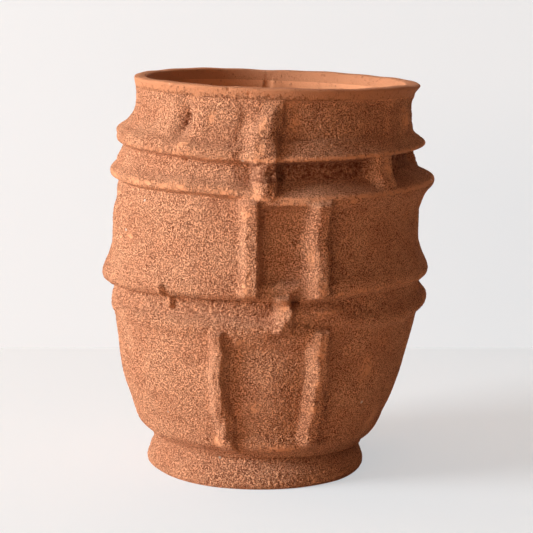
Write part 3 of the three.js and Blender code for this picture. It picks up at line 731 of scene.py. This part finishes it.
def tube_places(mesh):
    """Angle, level and depth of each vertex. The depth is 0 on the outside and 1 on the inside."""
    x, y, z = mesh_points(mesh).T
    angle = np.degrees(np.arctan2(x, -y))
    depth = (TUBE_OUTSIDE - np.hypot(x, y)) / (TUBE_OUTSIDE - TUBE_INSIDE)
    return angle, z, np.round(depth * DEPTH_STEPS) / DEPTH_STEPS


def keep_share(mesh, name, values):
    mesh.attributes.new(name, "FLOAT", "POINT").data.foreach_set("value", values.astype(np.float32))


def as_piece(name, mesh, points, wiped, pit_and_shade):
    """Puts the pressed points, in mm of the pot's own frame, into the mesh and shows it as a piece."""
    moved = (points + [MOVED_X, MOVED_Y, 0.0]) * MM
    mesh.vertices.foreach_set("co", moved.ravel())
    keep_share(mesh, "wiped", wiped)
    keep_share(mesh, "pit_and_shade", pit_and_shade)
    mesh.polygons.foreach_set("use_smooth", np.ones(len(mesh.polygons), bool))
    mesh.update()
    piece = bpy.data.objects.new(name, mesh)
    bpy.context.scene.collection.objects.link(piece)
    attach(piece, "root")
    print(f"{name}: {len(mesh.polygons)} faces")
    return piece


def as_mesh(name, tube, corner_levels):
    """A mesh from a tube whose corner loops, between its outside and its ends, shade as sharp."""
    for edge in tube.edges:
        at_corner = any(abs(edge.verts[0].co.z - level) < NEAR for level in corner_levels)
        if at_corner and is_round(edge):
            edge.smooth = False
    mesh = bpy.data.meshes.new(name)
    tube.to_mesh(mesh)
    tube.free()
    return mesh


def at_wall(angle, radius, level):
    """Points at an angle and radius on a level. The upper levels slope down to the right."""
    turn = np.radians(angle)
    x = lean(level) + radius * np.sin(turn)
    height = level - dip(angle, level) - through(SLOPE, level) * x
    return np.column_stack([x, -radius * np.cos(turn), height])


# %% [markdown]
# ## The wall between two seams
# The bowl, the waist, the barrel, the shoulders and the neck are made alike, so one function presses them
# all. It stretches the plain tube between its two seams and puts every vertex at its depth in the wall.
# Outside it cuts the grain, less where the clay is wiped and more where it is coarse.

# %% Press the wall of one member
GRAIN_CLOSED = 0.93
# How strongly the painted shade of the hollows darkens the clay.
HOLLOW_SHADE_WEIGHT = 1.2


def wall_member(name, low, high, outer_rows, nominal):
    """low and high are lines of [degrees, height]; nominal are the two levels of the plain tube."""
    mesh = as_mesh(name, spun_tube(*nominal, outer_rows), nominal)
    angle, level, depth = tube_places(mesh)
    share = (level - nominal[0]) / (nominal[1] - nominal[0])
    level = around(low, angle) * (1 - share) + around(high, angle) * share
    face, inside = outer_radius(angle, level), inner_radius(angle, level)
    wiped = wiped_share(angle, level)
    outer = depth < NEAR
    bare = at_wall(angle[outer], face[outer], level[outer])
    torn = (1 - GRAIN_CLOSED * wiped[outer]) * coarseness(angle[outer], level[outer])
    cut = np.zeros(len(angle))
    cut[outer] = torn * grain_depth(bare)
    radius = (face - cut) * (1 - depth) + inside * depth
    # The kept darkness is the grain's depth, plus painted shade in the hollows.
    dark = np.where(outer, cut + HOLLOW_SHADE_WEIGHT * hollow_shade(angle, level), 0.0)
    return as_piece(name, mesh, at_wall(angle, radius, level), np.where(outer, wiped, 1.0), dark)


print(f"wiping closes {GRAIN_CLOSED:.0%} of the grain")

# %% [markdown]
# ## The members, from the bowl up
# Each member covers the solids it stands for, and its strips are pressed out of the same surface, because
# the real ones were smeared into the wall until no edge was left. Two of the seams between them are the
# wavy ones seen in front. The others are hidden in the surface, so they lie level.

# %% Bowl, waist, barrel, shoulders and neck
SEAM_LEVELS = {
    "foot": 27, "waist": 158, "barrel": 198, "band": 284, "channel": 324, "neck": 356, "rim": 389,
}
WAVY_SEAMS = {"foot": FOOT_SEAM, "barrel": BARREL_SEAM}


def nodes_named(*starts):
    return [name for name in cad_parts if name.startswith(starts)]


def member_between(name, below, above, outer_rows, *node_starts):
    """The member between two named seams, which replaces the solids with the given names."""
    nominal = (SEAM_LEVELS[below], SEAM_LEVELS[above])
    low, high = (WAVY_SEAMS.get(seam, [[0, SEAM_LEVELS[seam]]]) for seam in (below, above))
    piece = wall_member(name, low, high, outer_rows, nominal)
    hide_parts(*nodes_named(*node_starts))
    return piece


bowl = member_between("bowl", "foot", "waist", 13, "bowl_")
waist = member_between("waist", "waist", "barrel", 5, "waist_")
barrel = member_between("barrel", "barrel", "band", 10, "barrel_", "seam_strip")
lower_shoulder = member_between(
    "lower_shoulder", "band", "channel", 7, "lower_shoulder_band", "channel_", "shoulder_strap",
)
upper_shoulder = member_between("upper_shoulder", "channel", "neck", 5, "upper_shoulder_band")
neck = member_between("neck", "neck", "rim", 5, "neck_")

# %% [markdown]
# ## The rim
# The rim is the same wall carried up and rounded over. Its top edge gets extra cuts through the wall, and
# each loop of them is lifted onto a half round, so the light catches it in one soft line. A bevel would
# round it too, but with one width all round, and this rim is uneven.

# %% The rounded rim
RIM_ROUND = 2.6
RIM_SEAM = SEAM_LEVELS["rim"]
RIM_THINNED = 1.5
RIM_GRAIN_CLOSED = 0.88


def rim_member():
    tube = spun_tube(RIM_SEAM, RIM_TOP - RIM_ROUND, 2, top_cuts=TOP_CUTS)
    mesh = as_mesh("rim", tube, (RIM_SEAM,))
    angle, level, depth = tube_places(mesh)
    face = outer_radius(angle, level)
    inside = inner_radius(angle, level) + RIM_THINNED * smooth(level, RIM_SEAM, RIM_SEAM + 7)
    on_top = level > RIM_TOP - RIM_ROUND - NEAR
    half_round = np.pi * depth
    uneven = 0.3 * np.sin(np.radians(angle) * 7 + 1) + 0.25 * np.sin(np.radians(angle) * 19)
    lift = np.where(on_top, (RIM_ROUND + uneven) * np.sin(half_round) ** 0.5, 0.0)
    across = np.where(on_top, (1 - np.cos(half_round)) / 2, depth)
    points = at_wall(angle, face * (1 - across) + inside * across, level)
    points[:, 2] += lift
    outer = (depth < NEAR) & ~on_top
    wiped = np.where(outer, wiped_share(angle, level), 1.0)
    cut = np.where(outer, (1 - RIM_GRAIN_CLOSED * wiped) * grain_depth(points), 0.0)
    points[:, :2] *= (1 - cut / face)[:, None]
    return as_piece("rim", mesh, points, wiped, cut)


rim = rim_member()
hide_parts("rim_coil")

# %% [markdown]
# ## The foot
# The foot is a thick ring that flares to the ground, a little to the left of the wall above it, and its
# front was pulled outwards. It takes the same torn grain outside and is plain where it stands. Its outside
# is painted darker, as painted shade for the shadow under the bowl's overhanging lower edge. It has its
# own profile, because it doesn't share the wall's lean.

# %% Foot ring
FOOT_TALL = 30
FOOT_RADII = [
    [0, 111], [1.6, 113], [5, 114.2], [10, 113], [15, 111.2], [19, 109.6], [24, 106.2], [29, 105.6],
    [33, 106],
]
FOOT_BULGE = [
    [-90, -1.5], [-60, -1.5], [-40, 2.5], [-20, 7.5], [0, 10], [20, 12.5], [45, 12], [60, 8], [80, 2],
    [90, 0], [180, 0],
]
FOOT_INSIDE = 88.5
# How much painted shade darkens the foot's outside.
FOOT_PAINTED_SHADE = 0.6


def foot_member():
    mesh = as_mesh("foot", spun_tube(0, FOOT_TALL, 4), (0, FOOT_TALL))
    angle, level, depth = tube_places(mesh)
    outer = depth < NEAR
    top = around(FOOT_SEAM, angle) + 1.0
    level = level / FOOT_TALL * top
    turn = np.radians(angle)
    face = through(FOOT_RADII, level) + around(FOOT_BULGE, angle) * (1 - 0.7 * smooth(level, 12, 30))
    radius = face * (1 - depth) + FOOT_INSIDE * depth
    points = np.column_stack([FOOT_X + radius * np.sin(turn), -radius * np.cos(turn), level])
    cut = np.zeros(len(angle))
    cut[outer] = grain_depth(points[outer]) * smooth(level[outer], -1, 3)
    points[:, 0] -= cut * np.sin(turn)
    points[:, 1] += cut * np.cos(turn)
    wiped = np.where(outer, 0.4 * (1 - smooth(level, 2, 5)), 0.6)
    # The foot's outside carries its painted shade with the grain's depth.
    return as_piece("foot", mesh, points, wiped, cut + FOOT_PAINTED_SHADE * outer)


foot = foot_member()
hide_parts("foot_ring")

# %% [markdown]
# ## The floor
# The floor slab lies on a ledge inside the foot, wiped round with a wet sponge, with a drain hole through
# its middle. It is spun like the walls, from a loop of four corners. Its edges are then bevelled and its
# top cut into rings, which take the sponge's shallow swirl.

# %% Floor slab with its drain hole
FLOOR_RADIUS = 88.0
DRAIN_RADIUS = 13.0
FLOOR_LOW, FLOOR_HIGH = 10.4, 25
FLOOR_WIPED = 0.7


def slab_mesh():
    """A disc with a hole, with all its edges rounded and its top cut into rings."""
    slab = bmesh.new()
    outline = [(DRAIN_RADIUS, FLOOR_LOW), (FLOOR_RADIUS, FLOOR_LOW)]
    outline += [(FLOOR_RADIUS, FLOOR_HIGH), (DRAIN_RADIUS, FLOOR_HIGH)]
    loop = [slab.verts.new((0, -radius, height)) for radius, height in outline]
    edges = [slab.edges.new((loop[i - 1], loop[i])) for i in range(4)]
    bmesh.ops.spin(
        slab, geom=loop + edges, cent=(0, 0, 0), axis=(0, 0, 1), angle=2 * math.pi, steps=120,
        use_merge=True,
    )
    round_edges = [e for e in slab.edges if is_round(e)]
    bmesh.ops.bevel(
        slab, geom=round_edges, offset=2.2, segments=4, profile=0.5, affect="EDGES", material=-1,
    )
    spokes = [e for e in slab.edges if is_across(e) and e.calc_length() > 20]
    bmesh.ops.subdivide_edges(slab, edges=spokes, cuts=40, use_grid_fill=True)
    bmesh.ops.recalc_face_normals(slab, faces=slab.faces)
    return as_mesh("floor", slab, ())


def floor_member():
    mesh = slab_mesh()
    points = mesh_points(mesh)
    out = np.hypot(points[:, 0], points[:, 1])
    turn = np.arctan2(points[:, 1], points[:, 0])
    on_top = points[:, 2] > (FLOOR_LOW + FLOOR_HIGH) / 2
    swirl = on_top * (0.8 + 0.5 * np.sin(out / 4.2 + turn))
    points[:, 2] -= swirl * smooth(out, 15, 22) * (1 - smooth(out, 80, 87))
    points[:, 0] += FOOT_X
    return as_piece("floor", mesh, points, np.full(len(out), FLOOR_WIPED), np.zeros(len(out)))


floor = floor_member()
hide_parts("floor_slab")

# %% [markdown]
# ## Shared effects of the clay
# Four effects make fired clay look like clay, and every member uses them, so each is a node group: fine
# grain that is too small to model, slow changes of tone from the kiln, the broken edge of a wiped place,
# and the few pale crumbs that fired lighter than the rest. A group is built once and set into each
# material, and these helpers keep its wiring short.

# %% Helpers for node trees
def new_group(name, inputs, outputs):
    """A shader node group and its two ends. Its sockets hold numbers, but Vector holds a place."""
    group = bpy.data.node_groups.new(name, "ShaderNodeTree")
    for names, side in ((inputs, "INPUT"), (outputs, "OUTPUT")):
        for socket in names:
            kind = "NodeSocketVector" if socket == "Vector" else "NodeSocketFloat"
            group.interface.new_socket(socket, in_out=side, socket_type=kind)
    return group, group.nodes.new("NodeGroupInput"), group.nodes.new("NodeGroupOutput")


def add_node(tree, kind, **settings):
    node = tree.nodes.new(kind)
    for key, value in settings.items():
        setattr(node, key, value)
    return node


def math_node(tree, operation, first, second=None):
    """A Math node whose inputs are sockets or plain numbers."""
    node = add_node(tree, "ShaderNodeMath", operation=operation)
    for socket, source in zip(node.inputs, (first, second)):
        if isinstance(source, (int, float)):
            socket.default_value = source
        elif source is not None:
            tree.links.new(source, socket)
    return node.outputs[0]


def ramp_between(tree, value, low, high):
    """0 where the value is low or less, 1 where it is high or more."""
    node = add_node(tree, "ShaderNodeMapRange", interpolation_type="SMOOTHSTEP")
    tree.links.new(value, node.inputs["Value"])
    node.inputs["From Min"].default_value = low
    node.inputs["From Max"].default_value = high
    return node.outputs["Result"]


def noise_at(tree, place, scale, detail=2.0, roughness=0.5):
    """The value of a noise at a place. The scale is in waves to the metre."""
    texture = add_node(tree, "ShaderNodeTexNoise")
    tree.links.new(place, texture.inputs["Vector"])
    for socket, value in (("Scale", scale), ("Detail", detail), ("Roughness", roughness)):
        texture.inputs[socket].default_value = value
    return texture.outputs["Fac"]


# %% [markdown]
# ## Fine grain
# Between the crumbs that the mesh holds lies grit of about a millimetre, with dust on it. A noise cut
# sharply at its middle gives grit with gaps, a finer one the dust, and a slow one makes the gaps deeper
# in drifts. The mesh would need a hundred times its faces for this, and from two metres away a bump and
# a darker gap look the same. The gaps' darkness is partly the grit's own colour and partly painted shade,
# for the shadows that a bump can't cast.

# %% The grit, its gaps and its dust
GRIT_SCALE = 780
DUST_SCALE = 1500
DRIFT_SCALE = 75


def make_fine_grain():
    group, start, end = new_group("fine_grain", ["Vector"], ["Height", "Gap", "Dust"])
    place = start.outputs["Vector"]
    grit = ramp_between(group, noise_at(group, place, GRIT_SCALE, roughness=0.6), 0.35, 0.57)
    dust = noise_at(group, place, DUST_SCALE)
    drifts = ramp_between(group, noise_at(group, place, DRIFT_SCALE, detail=3), 0.42, 0.7)
    torn = math_node(group, "ADD", 0.8, math_node(group, "MULTIPLY", drifts, 0.3))
    gap = math_node(group, "MULTIPLY", math_node(group, "SUBTRACT", 1.0, grit), torn)
    height = math_node(group, "ADD", grit, math_node(group, "MULTIPLY", dust, 0.3))
    for socket, source in (("Height", height), ("Gap", gap), ("Dust", dust)):
        group.links.new(source, end.inputs[socket])
    return group


fine_grain = make_fine_grain()
print("fine_grain has", len(fine_grain.nodes), "nodes")

# %% [markdown]
# ## Slow tones of the kiln
# The fire reached some places more than others, so the clay goes from a deeper to a lighter tone over a
# few centimetres. One slow noise, stretched over its middle, is enough.

# %% The clouds of tone
CLOUD_SCALE = 26


def make_kiln_tones():
    group, start, end = new_group("kiln_tones", ["Vector"], ["Tone"])
    clouds = noise_at(group, start.outputs["Vector"], CLOUD_SCALE, detail=4)
    group.links.new(ramp_between(group, clouds, 0.32, 0.68), end.inputs["Tone"])
    return group


kiln_tones = make_kiln_tones()
print("kiln_tones has", len(kiln_tones.nodes), "nodes")

# %% [markdown]
# ## The broken edge of a wiped place
# A wet finger skips over the grain where it lifts, so a wiped place ends in tatters. The mesh keeps a
# soft share, and adding noise to it before it is cut off breaks the edge without moving it.

# %% The tattered mask
TATTER_SCALE = 300
TATTER_REACH = 2.2


def make_wiped_edge():
    group, start, end = new_group("wiped_edge", ["Vector", "Wiped"], ["Mask"])
    tatters = noise_at(group, start.outputs["Vector"], TATTER_SCALE, detail=3)
    uneven = math_node(group, "MULTIPLY", math_node(group, "SUBTRACT", tatters, 0.5), TATTER_REACH)
    shifted = math_node(group, "ADD", start.outputs["Wiped"], uneven)
    group.links.new(ramp_between(group, shifted, 0.35, 0.85), end.inputs["Mask"])
    return group


wiped_edge = make_wiped_edge()
print("wiped_edge has", len(wiped_edge.nodes), "nodes")

# %% [markdown]
# ## Pale crumbs
# A few crumbs of the crushed brick fired almost white. They are small and far apart: round spots about
# the middles of scattered cells, of which only one in five is chosen, by the cell's own random colour.

# %% The scattered spots
SPOT_SCALE = 42
SPOT_RADIUS = 0.07
SPOT_CHOSEN = 0.8


def make_pale_crumbs():
    group, start, end = new_group("pale_crumbs", ["Vector"], ["Mask"])
    cells = add_node(group, "ShaderNodeTexVoronoi", feature="F1")
    cells.inputs["Scale"].default_value = SPOT_SCALE
    group.links.new(start.outputs["Vector"], cells.inputs["Vector"])
    near = math_node(group, "LESS_THAN", cells.outputs["Distance"], SPOT_RADIUS)
    parts = add_node(group, "ShaderNodeSeparateColor")
    group.links.new(cells.outputs["Color"], parts.inputs["Color"])
    chosen = math_node(group, "GREATER_THAN", parts.outputs["Red"], SPOT_CHOSEN)
    group.links.new(math_node(group, "MULTIPLY", near, chosen), end.inputs["Mask"])
    return group


pale_crumbs = make_pale_crumbs()
print("pale_crumbs has", len(pale_crumbs.nodes), "nodes")

# %% [markdown]
# ## Colours, and blending them
# A colour is written as it looks on a screen in plain light, 0 to 255, because that is how it is read
# off a photograph. A shader reckons with linear light, so each is converted once. Most of the recipe
# for the clay is blending two colours by a mask, so that has a helper too.

# %% Colours and blends
def colour(red, green, blue):
    """A screen colour, 0 to 255, as the linear colour that a socket takes."""
    share = np.array([red, green, blue]) / 255
    linear = np.where(share <= 0.04045, share / 12.92, ((share + 0.055) / 1.055) ** 2.4)
    return (*linear.tolist(), 1.0)


def use_group(tree, group, sources):
    node = add_node(tree, "ShaderNodeGroup", node_tree=group)
    for socket, source in sources.items():
        tree.links.new(source, node.inputs[socket])
    return node


def blend_colours(tree, share, under, over):
    """under where share is 0, over where it is 1. Each is a colour or a socket."""
    node = add_node(tree, "ShaderNodeMix", data_type="RGBA")
    tree.links.new(share, node.inputs["Factor"])
    for socket, source in ((node.inputs[6], under), (node.inputs[7], over)):
        if isinstance(source, tuple):
            socket.default_value = source
        else:
            tree.links.new(source, socket)
    return node.outputs[2]


print(f"a mid grey of 128 is {colour(128, 128, 128)[0]:.3f} in linear light")

# %% [markdown]
# ## The recipe for the clay
# One recipe makes all the clays. The torn grain's depth, kept on the mesh, darkens the clay down in the
# pits, where dust gathers, and as painted shade for the shadow in them. The painted shade of the hollows
# and of the foot is kept with it and darkens the clay in the same way. Wiping brings the fine slip to the
# surface, which is even in tone and a little less rough. Fired clay without a glaze has almost no shine,
# so its specular level is low.

# %% Terracotta
# The colour of dark grit and dust, and of the painted shade in gaps, pits and hollows.
PIT_AND_SHADE_COLOUR = colour(116, 60, 35)
CRUMB_COLOUR = colour(226, 208, 192)
GAP_SHARE = 0.95
DULL_SHINE = 0.3
ROUGH_TORN = 0.97
GRAIN_BUMP = 0.0014
BUMP_WIPED_AWAY = 0.75


def terracotta(name, deep, light, slip, rough_wiped):
    """deep and light are the torn clay's tones. slip and rough_wiped are those of the wiped clay."""
    material = bpy.data.materials.new(name)
    material.use_nodes = True
    tree = material.node_tree
    surface = tree.nodes["Principled BSDF"]
    place = add_node(tree, "ShaderNodeTexCoord").outputs["Object"]
    wiped = add_node(tree, "ShaderNodeAttribute", attribute_name="wiped").outputs["Fac"]
    pit_and_shade = add_node(tree, "ShaderNodeAttribute", attribute_name="pit_and_shade").outputs["Fac"]

    grain = use_group(tree, fine_grain, {"Vector": place})
    tone = use_group(tree, kiln_tones, {"Vector": place}).outputs["Tone"]
    mask = use_group(tree, wiped_edge, {"Vector": place, "Wiped": wiped}).outputs["Mask"]
    crumbs = use_group(tree, pale_crumbs, {"Vector": place}).outputs["Mask"]

    clay = blend_colours(tree, tone, deep, light)
    dusted = blend_colours(tree, ramp_between(tree, grain.outputs["Dust"], 0.35, 0.7), clay, light)
    # The gaps in the grit are darkened: partly the grit's dark colour, partly painted shade for the shadow
    # that the bump can't cast.
    gaps = math_node(tree, "MULTIPLY", grain.outputs["Gap"], GAP_SHARE)
    gapped = blend_colours(tree, gaps, dusted, PIT_AND_SHADE_COLOUR)
    skin = blend_colours(tree, mask, gapped, slip)
    # Darker by the kept depth of the grain and by the painted shade of the hollows and the foot.
    pitted = blend_colours(tree, ramp_between(tree, pit_and_shade, 0.9, 2.4), skin, PIT_AND_SHADE_COLOUR)
    speckled = blend_colours(tree, crumbs, pitted, CRUMB_COLOUR)
    tree.links.new(speckled, surface.inputs["Base Color"])

    rough = add_node(tree, "ShaderNodeMapRange")
    tree.links.new(mask, rough.inputs["Value"])
    rough.inputs["To Min"].default_value = ROUGH_TORN
    rough.inputs["To Max"].default_value = rough_wiped
    tree.links.new(rough.outputs["Result"], surface.inputs["Roughness"])
    surface.inputs["Specular IOR Level"].default_value = DULL_SHINE

    bump = add_node(tree, "ShaderNodeBump")
    bump.inputs["Distance"].default_value = GRAIN_BUMP
    bump.inputs["Strength"].default_value = 1.0
    left = math_node(tree, "SUBTRACT", 1.0, math_node(tree, "MULTIPLY", mask, BUMP_WIPED_AWAY))
    tree.links.new(math_node(tree, "MULTIPLY", grain.outputs["Height"], left), bump.inputs["Height"])
    tree.links.new(bump.outputs["Normal"], surface.inputs["Normal"])
    return material


# %% [markdown]
# ## Three clays
# The foot and the walls are of the rough clay. The rim was wiped all the way round, which left it more
# even, and its colours are darker than the walls': this is painted shade, which tones down the rim and the
# top of the inside where they face the lamp. The floor was wiped while it was wetter. They differ only in
# their colours and in how rough the wiped skin is, so each is one row of a table.

# %% Rough, wiped and floor clay
CLAYS = {
    # deep tone, light tone, wiped slip, roughness of the slip
    "rough_clay": (colour(208, 144, 108), colour(230, 172, 135), colour(220, 157, 117), 0.8),
    # The rim's darker colours are painted shade.
    "wiped_clay": (colour(184, 126, 92), colour(198, 141, 105), colour(192, 134, 98), 0.78),
    "floor_clay": (colour(186, 120, 84), colour(204, 140, 102), colour(198, 132, 94), 0.85),
}
MADE_OF = {
    "rough_clay": (foot, bowl, waist, barrel, lower_shoulder, upper_shoulder, neck),
    "wiped_clay": (rim,),
    "floor_clay": (floor,),
}

for name, recipe in CLAYS.items():
    clay = terracotta(name, *recipe)
    for piece in MADE_OF[name]:
        piece.data.materials.append(clay)
    print(name, "is on", [piece.name for piece in MADE_OF[name]])

# %% [markdown]
# ## The stage
# The pot stands on a plain pale floor in front of a plain pale wall, which meet in one faint line. Part
# of their paleness is given only to what the camera sees, so the floor stays bright without throwing
# more light on the pot, and it still shows the pot's soft shadow. What the pot itself sees of them is a
# warmer shade, which keeps its own shaded side warm. Both sheets are clear from behind, so the pot can be
# looked at from every side.

# %% Pale paint
UNSEEN_SHADE = colour(222, 196, 172)


def mix_shaders(tree, share, first, second):
    node = add_node(tree, "ShaderNodeMixShader")
    for socket, source in zip(node.inputs, (share, first, second)):
        tree.links.new(source, socket)
    return node.outputs["Shader"]


def pale_material(name, shade, lift):
    """lift is how much of its paleness the camera sees whatever light falls on it."""
    material = bpy.data.materials.new(name)
    material.use_nodes = True
    tree = material.node_tree
    paint = tree.nodes["Principled BSDF"]
    paint.inputs["Roughness"].default_value = 1.0
    paint.inputs["Specular IOR Level"].default_value = 0.0
    glow = add_node(tree, "ShaderNodeEmission")
    glow.inputs["Color"].default_value = shade
    seen = add_node(tree, "ShaderNodeLightPath")
    either = math_node(tree, "ADD", seen.outputs["Is Camera Ray"], seen.outputs["Is Glossy Ray"])
    either = math_node(tree, "ADD", either, seen.outputs["Is Transmission Ray"])
    either = math_node(tree, "MINIMUM", either, 1.0)
    tree.links.new(blend_colours(tree, either, UNSEEN_SHADE, shade), paint.inputs["Base Color"])
    share = math_node(tree, "MULTIPLY", either, lift)
    pale = mix_shaders(tree, share, paint.outputs["BSDF"], glow.outputs["Emission"])
    clear = add_node(tree, "ShaderNodeBsdfTransparent")
    behind = add_node(tree, "ShaderNodeNewGeometry").outputs["Backfacing"]
    sided = mix_shaders(tree, behind, pale, clear.outputs["BSDF"])
    tree.links.new(sided, tree.nodes["Material Output"].inputs["Surface"])
    return material


ground_paint = pale_material("pale_ground", colour(240, 246, 250), 0.55)
wall_paint = pale_material("pale_wall", colour(240, 244, 247), 0.68)
print("painted with", ground_paint.name, "and", wall_paint.name)

# %% [markdown]
# ## Floor and wall
# Two flat sheets are enough, because a plain floor and a plain wall have no form of their own. The floor
# reaches so far that its end is never seen, from whichever side the pot is looked at.

# %% Two sheets
WALL_BEHIND = 540.0
GROUND_REACH = 30.0
WALL_REACH = 6.0


def stage_sheet(name, reach, turn, middle, material):
    """A flat square sheet that reaches so far from its middle, turned about x, in metres."""
    sheet = bmesh.new()
    bmesh.ops.create_grid(sheet, x_segments=1, y_segments=1, size=reach)
    bmesh.ops.rotate(sheet, verts=sheet.verts, cent=(0, 0, 0), matrix=Matrix.Rotation(turn, 3, "X"))
    bmesh.ops.translate(sheet, verts=sheet.verts, vec=middle)
    mesh = bpy.data.meshes.new(name)
    sheet.to_mesh(mesh)
    sheet.free()
    mesh.materials.append(material)
    made = bpy.data.objects.new(name, mesh)
    bpy.context.scene.collection.objects.link(made)
    return made


wall_y = (MOVED_Y + WALL_BEHIND) * MM
stage_sheet("ground", GROUND_REACH, 0.0, (0, 0, 0), ground_paint)
stage_sheet("backdrop", WALL_REACH, math.pi / 2, (0, wall_y, WALL_REACH), wall_paint)
print(f"the wall stands {wall_y:.3f} m behind the middle of the shared frame")

# %% [markdown]
# ## Light
# A large lamp like a window stands far to the left, a little in front of the pot and above it, so every
# strip is lit on its left and dark on its right. A weak warm lamp in front fills the shadows a little, as
# a lit room does, and the world round the pot is warm and weaker still. One bare lamp would leave the
# right side black, and a strong even world would wash the relief out.

# %% Lamps and world
AIM = (0, 0, 0.2)
WHITE = (1.0, 1.0, 1.0)
WARM = (1.0, 0.66, 0.45)
ROOM_COLOUR = (1.0, 0.52, 0.3, 1.0)
ROOM_STRENGTH = 0.108


def lamp(name, place, width, height, power, tint):
    """A rectangular lamp, sizes and place in metres, that looks at the middle of the pot."""
    light = bpy.data.lights.new(name, "AREA")
    light.shape = "RECTANGLE"
    light.size = width
    light.size_y = height
    light.energy = power
    light.color = tint
    made = bpy.data.objects.new(name, light)
    made.location = place
    made.rotation_euler = (Vector(AIM) - Vector(place)).to_track_quat("-Z", "Y").to_euler()
    bpy.context.scene.collection.objects.link(made)
    print(f"{name}: {power} W from {(Vector(AIM) - Vector(place)).length:.1f} m away")


lamp("window", (-5.5, -1.7, 2.1), 2.8, 2.4, 540, WHITE)
lamp("room_front", (-2.6, -4.3, 1.6), 3.0, 1.6, 76, WARM)

world = bpy.data.worlds.new("room")
world.use_nodes = True
background = world.node_tree.nodes["Background"]
background.inputs["Color"].default_value = ROOM_COLOUR
background.inputs["Strength"].default_value = ROOM_STRENGTH
bpy.context.scene.world = world

# %% [markdown]
# ## Camera
# The photograph shows the rim as a flat ellipse, and lines that are upright stay nearly parallel in it. So
# the camera stands two metres away with a long lens and looks down ten degrees. Nearer, with a wide lens,
# the same pot would look top-heavy.

# %% The camera
CAMERA_X = 1.6
CAMERA_AWAY = 1994.0
CAMERA_HEIGHT = 557.0
LOOKS_DOWN = 10.0
LENS = 131.0

camera_data = bpy.data.cameras.new("camera")
camera_data.sensor_width = 36
camera_data.lens = LENS
camera = bpy.data.objects.new("camera", camera_data)
camera.location = ((MOVED_X + CAMERA_X) * MM, (MOVED_Y - CAMERA_AWAY) * MM, CAMERA_HEIGHT * MM)
camera.rotation_euler = (math.radians(90 - LOOKS_DOWN), 0, 0)
bpy.context.scene.collection.objects.link(camera)
bpy.context.scene.camera = camera
bpy.context.scene.view_settings.view_transform = "Standard"
print(f"camera: {LENS:.0f} mm lens, {CAMERA_AWAY * MM:.2f} m in front of the pot")
